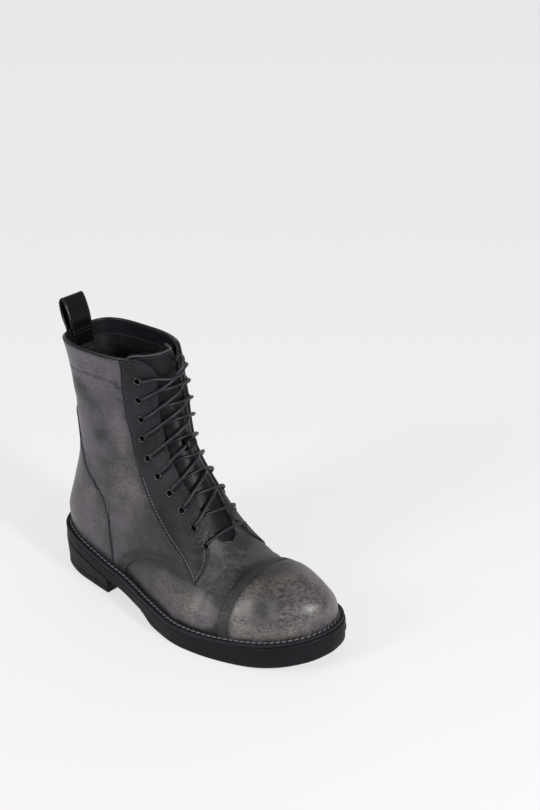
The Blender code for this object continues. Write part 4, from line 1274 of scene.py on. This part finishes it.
    # Stitches, on the leather's surface: pitch, length, width and depth
    rows = []
    for level, lift in zip(cap_rows, (-0.0001, 0.0004, 0.0004, 0.0002)):
        rows += contour(cap, level, [ground], PANEL_TOP + lift)
    stitches("cap_stitches", rows, 0.0030, 0.0024, 0.00065, 0.00005)
    rows = []
    for level in quarter_rows:
        rows += contour(vamp, level, [field("facing", -1, 0.0008), off_counter, ground],
                        PANEL_TOP)
    stitches("quarter_stitches", rows, 0.0028, 0.0022, 0.00060, 0.0002)
    off_front, off_facing = field("front", 1, 0.001), field("facing", 1, 0.001)
    off_throat = field("throat", 1, 0.001)
    rows = contour(facing, facing_row, [field("throat", 1, 0.002), off_front], PANEL_TOP)
    rows += contour(front, facing_row, [off_throat, off_facing], PANEL_TOP)
    pale_below = 0.125
    low_rows = [line[line[:, 2] < pale_below] for line in rows]
    stitches("facing_stitches_low", [r for r in low_rows if len(r) > 4], 0.0030, 0.0024,
             0.00070, 0.0002, THREAD_GREY)
    rows = [line[line[:, 2] >= pale_below] for line in rows]
    rows += contour(throat, throat_row, [off_facing, off_front], PANEL_TOP)
    rows += contour(cuff, cuff_row, [behind], PANEL_TOP)
    rows += contour(counter, counter_row, [ground], GAP + COUNTER_THICKNESS)
    rows += contour(collar, collar_row, [behind], PANEL_TOP)
    stitches("seam_stitches", [r for r in rows if len(r) > 4], 0.0028, 0.0022, 0.00055, 0.0002)

    # Rolled edges
    rows = contour(counter, -0.0004, [ground], GAP + 0.0010)
    tube("counter_piping", rows, 0.0014, PIPING)
    rows = contour(facing, -0.0001, [off_throat, field("vamp", 1, -0.001)],
                   GAP + OVERLAY * 0.75)
    tube("facing_piping", rows, 0.00055, PIPING)
    rim = FORM[TOP_POINTS]
    kept = throat(rim) > 0
    order = np.roll(np.arange(len(rim)), -int(np.argmin(kept)))
    line = resample(rim[order][kept[order]], LINE_SPACING, 0.0)
    line[:, :3] -= line[:, 3:] * (WALL / 2 - 0.0004)
    tube("collar_binding", [line], 0.0013, PIPING)


def build_tongue_looks():
    """Tongue: a soft sheet with a pale cut edge that curls in at its inner top corner."""
    section, side, sheet = field("section"), field("side"), field("tongue")
    per_section, corner, swelling = 0.0104, 0.004, 0.0009

    def free(data):
        sag = 1 - 0.45 * (side(data) / TONGUE_HALF_WIDTH) ** 2
        top = (LAST_ROW + TONGUE_RISE * sag - section(data)) * per_section
        a, b = np.maximum(corner - sheet(data), 0), np.maximum(corner - top, 0)
        return np.minimum(np.minimum(sheet(data), top), corner - np.hypot(a, b))

    data, faces = trim(SHEET, SHEET_FACES, free)
    for level in (0.0005, 0.0012, 0.0022):
        data, faces = split(data, faces, free, level)
    t = np.clip(free(data) / 0.0012, 0, 1)
    swell = swelling * np.sqrt(1 - (1 - t) ** 2)
    high, across = section(data), side(data)
    curl = smooth_step((high - 15.1) / 1.3) * smooth_step((across - 0.008) / 0.016)
    wave = 0.0005 * np.sin(high * 2.6 + across * 90) * smooth_step((15.5 - high) / 2)
    rise = -WALL - GAP - swelling + swell - wave.clip(0) - 0.0065 * curl
    under = rise - swell - TONGUE_THICKNESS + swelling
    upper_side = data[:, :3] + data[:, 3:6] * rise[:, None]
    lower_side = data[:, :3] + data[:, 3:6] * under[:, None]
    points, faces = sheet_body(upper_side, lower_side, faces)
    finish_mesh("tongue_fine", points, faces, TONGUE_STUFF, node=("tongue",))

    def rows_on_sheet(level, from_section, lift):
        bent = []
        for line in contour(free, level, [field("section", 1, from_section)], lift,
                            base=(SHEET, SHEET_FACES)):
            at = np.array([np.argmin(((upper_side - p[:3]) ** 2).sum(1)) for p in line])
            line[:, :3] = upper_side[at] + data[at, 3:6] * 0.0001
            line[1:-1, :3] = (line[:-2, :3] + line[1:-1, :3] * 2 + line[2:, :3]) / 4
            bent.append(line)
        return bent

    low = -WALL - GAP
    tube("tongue_edge", rows_on_sheet(0.0004, 14.6, low - 0.0004), 0.00055, EDGE)
    stitches("tongue_stitches", rows_on_sheet(0.0030, 13.5, low), 0.0028, 0.0022, 0.0005,
             0.0001)


def back_line(across):
    """Back of the collar in side view at a distance from the ridge, from z to x."""
    section = np.linspace(LAST_ROW - 1.2, LAST_ROW, 12)
    angle = np.linspace(-math.pi / 2, 0, 90)
    side = -1 if across < 0 else 1
    strip = last_points(section, angle, side)
    ridge = hermite(section_rows(), section)[:, 8]
    line = []
    for points, middle in zip(strip, ridge):
        away = side * (points[:, 1] - middle)
        line.append([np.interp(abs(across), away, points[:, i]) for i in (2, 0)])
    return np.array(line)


def strap_mesh(name, centres, normals, thickness, stuff, node):
    """Strap from a grid of middle points (across by along) and their normals."""
    across, along = centres.shape[:2]
    ring = [(k, 0.5) for k in range(across)] + [(k, -0.5) for k in range(across - 1, -1, -1)]
    points = []
    for step in range(along):
        for k, side in ring:
            edge = min(k, across - 1 - k)
            thin = (0.45, 0.85)[edge] if edge < 2 else 1.0
            points.append(centres[k, step] + normals[k, step] * thickness * side * thin)
    count = len(ring)
    faces = ring_faces(along, count)
    faces.append(tuple(range(count))[::-1])
    faces.append(tuple(range((along - 1) * count, along * count)))
    return finish_mesh(name, points, faces, stuff, node=node, sharp=55)


def build_pull_loop_looks():
    """Glossy strap folded over the back of the collar."""
    rim = section_rows()[LAST_ROW]
    thick, leg = PULL_LOOP_THICKNESS, PULL_LOOP_LEG
    rise, lean = PULL_LOOP_HEIGHT, PULL_LOOP_LEAN
    outside = -(OVERLAY + 3 * GAP + thick / 2)
    inside = WALL + 3 * GAP + thick / 2
    path = [
        # height over the rim, distance inwards, share of the collar's curve
        (-leg, outside, 1.0), (-leg / 2, outside, 1.0), (0.0, outside, 1.0),
        (0.40 * rise, outside * 1.5 - lean * 0.5, 0.5),
        (0.82 * rise, outside * 1.1 - lean, 0.1), (rise - thick / 2, -lean, 0.0),
        (0.82 * rise, inside * 0.9 - lean, 0.1),
        (0.40 * rise, inside * 1.3 - lean * 0.5, 0.5), (0.0, inside, 1.0),
        (-leg / 2, inside, 1.0), (-leg, inside, 1.0),
    ]
    path = hermite(path, np.linspace(0, len(path) - 1, 90))
    middle = back_line(0.0)
    z = rim[1] + path[:, 0]
    shared = np.interp(z, middle[:, 0], middle[:, 1])
    centres, normals = [], []
    shares = np.array([-0.5, -0.485, -0.44, -0.3, -0.15, 0.0, 0.15, 0.3, 0.44, 0.485, 0.5])
    for across in shares * PULL_LOOP_WIDTH:
        line = back_line(across)
        own = np.interp(z, line[:, 0], line[:, 1])
        x = shared + path[:, 1] + (own - shared) * path[:, 2]
        tangent = unit(np.gradient(np.stack([x, z], 1), axis=0))
        normals.append(np.stack([-tangent[:, 1], 0 * x, tangent[:, 0]], 1))
        centres.append(np.stack([x, 0 * x + rim[8] + across, z], 1))
    centres, normals = np.array(centres), np.array(normals)
    strap_mesh("pull_loop_fine", centres, normals, thick, PATENT,
               ("pull_loop",))

    def row(take, way):
        surface = centres[take] + normals[take] * thick / 2 * way
        return np.column_stack([surface, normals[take] * way])

    # Two rows across the outer leg, and one along each edge on both sides
    out = -1.0 if normals[5, 80, 0] < 0 else 1.0
    rows = [row((slice(1, -1), step), out) for step in (72, 75)]
    for edge in (2, 8):
        rows += [row((edge, slice(3, 87)), way) for way in (out, -out)]
    stitches("pull_loop_stitches", rows, 0.0030, 0.0024, 0.0006, 0.0001)


# The lacing


def ring_mesh(places):
    """Points and faces of rolled rings at places with normals."""
    steps = 20
    mid = (EYELET_RADIUS + EYELET_BORE) / 2
    wide = (EYELET_RADIUS - EYELET_BORE) / 2
    profile = [(mid + wide * math.cos(turn), PANEL_TOP + EYELET_ROLL * math.sin(turn))
               for turn in np.linspace(0, math.pi, 7)]
    profile.append((EYELET_BORE - 0.0001, PANEL_TOP - 0.0035))
    points, faces = [], []
    for place, axis in places:
        side = unit(np.cross(axis, [0.0, 0.0, 1.0]))
        other = np.cross(axis, side)
        faces += ring_faces(len(profile), steps, len(points))
        for radius, rise in profile:
            for turn in np.linspace(0, 2 * math.pi, steps, endpoint=False):
                points.append(place + axis * rise
                              + radius * (math.cos(turn) * side + math.sin(turn) * other))
    return points, faces


def cord_line(stops):
    """Smooth cord route through stops of section, distance across and height."""
    rows = np.array([np.concatenate(on_last(*stop)) for stop in stops])
    dense = hermite(rows, np.linspace(0, len(rows) - 1, 12 * len(rows)))
    return resample(dense, CORD_SPACING, 0.0)


def build_lacing_looks():
    """Eyelets, the cord through them, the loop at the top and the keeper strap."""
    rows = eyelet_sections()
    places, nodes = [], []
    for number, section in enumerate(rows, 1):
        for side, word in ((-1, "lateral"), (1, "medial")):
            places.append(on_last(section, side * EYELET_ACROSS, 0))
            nodes.append(f"eyelet_{word}_{number:02d}")
    points, faces = ring_mesh(places)
    finish_mesh("eyelets_fine", points, faces, METAL, node=nodes, sharp=60)

    # Heights of the cord's middle over the upper, and distances across it
    cord, radius = LACE_DIAMETER, LACE_DIAMETER / 2
    hidden = -WALL - GAP - 0.3 * radius
    bore = -0.0010
    over = PANEL_TOP + EYELET_ROLL + radius * 0.8
    on_facing = PANEL_TOP + radius
    in_throat = -WALL + radius
    edge = THROAT_HALF_WIDTH
    far = EYELET_ACROSS - EYELET_BORE * 0.4

    def spaced(here, pitch, stops):
        """Stops at sections that are shares of a pitch away from a row."""
        return [(here + share * pitch, across, lift) for share, across, lift in stops]

    def bar(sag):
        """Straight run between the two eyelets of a row."""
        half = [
            (0.0, -EYELET_ACROSS - 0.0004, bore - 0.002), (0.0, -EYELET_ACROSS + 0.0004, bore),
            (0.0, -far + 0.0012, over - 0.0004), (0.0, -far + 0.0045, over),
            (0.0, -edge, on_facing + 0.0002), (-sag, -0.4 * edge, on_facing),
        ]
        other_half = [(share, -across, lift) for share, across, lift in half[::-1]]
        return half + [(-1.1 * sag, 0.0, on_facing)] + other_half

    def rising(wave=0.0):
        """Start of a diagonal, from an outer eyelet over the edge of its facing."""
        return [
            (-0.02, -EYELET_ACROSS - 0.0006, bore - 0.002),
            (0.0, -EYELET_ACROSS + 0.0004, bore),
            (0.02, -far + 0.0012, over - 0.0004), (0.06, -far + 0.0045, over),
            (0.16 + wave, -0.90 * edge, on_facing + 0.0004),
            (0.30 + wave, -0.50 * edge, in_throat + cord),
        ]

    lines = [cord_line(spaced(rows[0], 1.0, bar(0.30))),
             cord_line(spaced(rows[-1], 1.0, bar(0.02)))]
    for number in range(2, EYELETS_PER_SIDE):
        here = rows[number - 1]
        pitch = rows[number - 2] - here
        wave = 0.05 * math.sin(2.4 * number)
        diagonal = rising(wave) + [
            (0.52 + wave, 0.0, in_throat + 0.95 * cord),
            (0.74 + wave, 0.42 * edge, in_throat + 0.5 * cord),
            (0.88, 0.72 * edge, in_throat - 0.0003),
            (0.94, edge, hidden), (0.97, 1.30 * edge, hidden),
        ]
        level = [
            (-0.02, EYELET_ACROSS + 0.0006, bore - 0.002), (0.0, EYELET_ACROSS - 0.0004, bore),
            (0.0, far - 0.0012, over - 0.0004), (-0.02, far - 0.0045, over),
            (-0.05, 0.92 * edge, on_facing + 0.0002),
            (-0.10 - wave, 0.45 * edge, in_throat + 0.55 * cord),
            (-0.10 - wave, 0.0, in_throat + 0.25 * cord),
            (-0.03, -0.45 * edge, in_throat + 0.1 * cord),
            (0.03, -0.80 * edge, in_throat - 0.0003),
            (0.05, -1.05 * edge, hidden), (0.05, -1.30 * edge, hidden),
        ]
        # The second row's diagonal is part of the free loop
        for stops in ((level,) if number == 2 else (diagonal, level)):
            lines.append(cord_line(spaced(here, pitch, stops)))
    crossings = ["lace_bar_top", "lace_bar_bottom"]
    crossings += [f"lace_cross_{n:02d}" for n in range(1, EYELETS_PER_SIDE - 1)]
    tube("lace_run", lines, radius, CORD, steps=10, node=crossings)

    first = spaced(rows[1], rows[0] - rows[1], rising() + [
        (0.60, 0.0, in_throat + 0.95 * cord), (0.95, 0.35 * edge, in_throat + cord)])
    turn = spaced(rows[0], LAST_ROW - rows[0], [
        (0.10, 0.55 * edge, on_facing + 0.4 * cord), (0.35, 0.66 * edge, over + 0.3 * cord),
        (0.62, 0.72 * edge, over + 0.5 * cord), (0.80, 0.72 * edge, over - 0.1 * cord),
        (0.80, 0.66 * edge, in_throat + 0.5 * cord),
        (0.62, 0.60 * edge, in_throat + 0.1 * cord), (0.40, 0.62 * edge, in_throat)])
    loop = cord_line(first + turn)
    if np.linalg.norm(loop[-1, :3] - loop[-2, :3]) < CORD_SPACING / 2:
        loop = np.delete(loop, -2, 0)
    for _ in range(4):
        loop[1:-1, :3] = (loop[:-2, :3] + 2 * loop[1:-1, :3] + loop[2:, :3]) / 4
    piece = tube("lace_loop", [loop], radius, CORD, steps=10,
                 node=("lace_end_loop",))
    path = loop[:, :3].copy()
    path[:, 0] -= ORIGIN_SHIFT

    # Keeper strap on the tongue, bent over the cord
    low, high = rows[5], rows[4]
    per_metre = (high - low) / EYELET_PITCH
    centre = (low + high) / 2
    reach, width, thickness, small = 0.0054, 0.0076, 0.0010, 0.001
    foot = -WALL + 0.0005
    crest = 2 * cord - WALL + 4 * GAP + 0.0005
    half = [(-reach, foot), (-0.9 * reach, foot + 0.3 * (crest - foot)),
            (-0.8 * reach, foot + 0.8 * (crest - foot)), (-0.5 * reach, crest)]
    path = half + [(-along, lift) for along, lift in half[::-1]]
    path = hermite(path, np.linspace(0, len(path) - 1, 30))
    tangent = unit(np.gradient(path, axis=0))
    turned = np.stack([-tangent[:, 1], tangent[:, 0]], 1)
    centres, normals = [], []
    for share in (-0.5, -0.46, -0.3, 0.0, 0.3, 0.46, 0.5):
        line, away = [], []
        for (s, h), (ns, nh) in zip(path, turned):
            here = on_last(centre + s * per_metre, share * width, h)[0]
            there = on_last(centre + (s + ns * small) * per_metre, share * width,
                            h + nh * small)[0]
            line.append(here)
            away.append(unit(there - here))
        centres.append(line)
        normals.append(away)
    strap_mesh("keeper_fine", np.array(centres), np.array(normals), thickness, TONGUE_STUFF,
               ("tongue_loop",))


# Room


def build_room():
    """Pale floor that curves up behind, and soft light."""
    near, far, curve, top, half_width, depth_gain = -1.4, 1.2, 0.6, 3.0, 4.0, 1.5
    profile = [(near, 0.0), (far, 0.0)]
    for turn in np.linspace(0, math.pi / 2, 12)[1:]:
        profile.append((far + curve * math.sin(turn), curve - curve * math.cos(turn)))
    profile.append((far + curve, top))
    heading = math.radians(42.2)
    away = np.array([-math.sin(heading), math.cos(heading)])
    sideways = np.array([away[1], -away[0]])
    points, faces = [], []
    for forward, rise in profile:
        for wide in (-half_width, half_width):
            points.append((*(away * forward * depth_gain + sideways * wide), rise))
    for k in range(len(profile) - 1):
        faces.append((2 * k, 2 * k + 1, 2 * k + 3, 2 * k + 2))
    mesh = bpy.data.meshes.new("floor")
    mesh.from_pydata(points, [], faces)
    mesh.shade_smooth()
    stuff = Nodes("floor_look", 0.55)
    stuff.colour((0.22, 0.216, 0.221))
    stuff.fix("Specular IOR Level", 0.2)
    stuff.fix("Emission Color", (1.0, 0.982, 1.0, 1.0))
    stuff.fix("Emission Strength", 0.65)
    mesh.materials.append(stuff.material)
    linked("floor", mesh)

    world = bpy.data.worlds.new("studio")
    bpy.context.scene.world = world
    world.use_nodes = True
    background = world.node_tree.nodes["Background"]
    background.inputs["Color"].default_value = (1.0, 0.985, 1.0, 1.0)
    background.inputs["Strength"].default_value = 0.34

    def softbox(name, place, target, size, power):
        light = bpy.data.lights.new(name, "AREA")
        light.shape = "RECTANGLE"
        light.size, light.size_y = size
        light.energy = power
        back = unit(np.array(place) - np.array(target))
        side = unit(np.cross([0.0, 0.0, 1.0], back))
        aim(linked(name, light), side, np.cross(back, side), back, place)

    softbox("top_light", (0.15, 0.55, 1.7), (0.0, 0.0, 0.1), (1.4, 1.0), 1.0)
    softbox("front_light", (1.50, -0.20, 0.85), (0.10, 0.0, 0.05), (0.24, 0.32), 25.0)
    softbox("left_light", (-0.38, -1.57, 0.95), (0.05, 0.0, 0.05), (0.50, 0.62), 20.0)


def build_camera():
    """Camera at the photo's place and angle."""
    yaw, dip, roll = 0.736483, 0.440948, -0.0099013
    place = np.array([1.07182 - ORIGIN_SHIFT, -0.91206, 0.80189])
    focal_pixels, image_width, sensor = 1718.82, 540, 36.0
    back = np.array([math.sin(yaw) * math.cos(dip), -math.cos(yaw) * math.cos(dip),
                     math.sin(dip)])
    right = np.array([math.cos(yaw), math.sin(yaw), 0.0])
    up = np.cross(back, right)
    right, up = (right * math.cos(roll) + up * math.sin(roll),
                 -right * math.sin(roll) + up * math.cos(roll))
    camera = bpy.data.cameras.new("camera")
    camera.sensor_fit = "HORIZONTAL"
    camera.sensor_width = sensor
    camera.lens = focal_pixels / image_width * sensor
    camera.clip_end = 20.0
    item = linked("camera", camera)
    aim(item, right, up, back, place)
    bpy.context.scene.camera = item


bpy.context.scene.view_settings.view_transform = "Standard"
build_camera()
build_room()
build_sole_looks()
build_upper_looks()
build_tongue_looks()
build_pull_loop_looks()
build_lacing_looks()

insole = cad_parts["insole"]
insole.data.materials.clear()
insole.data.materials.append(LINING)
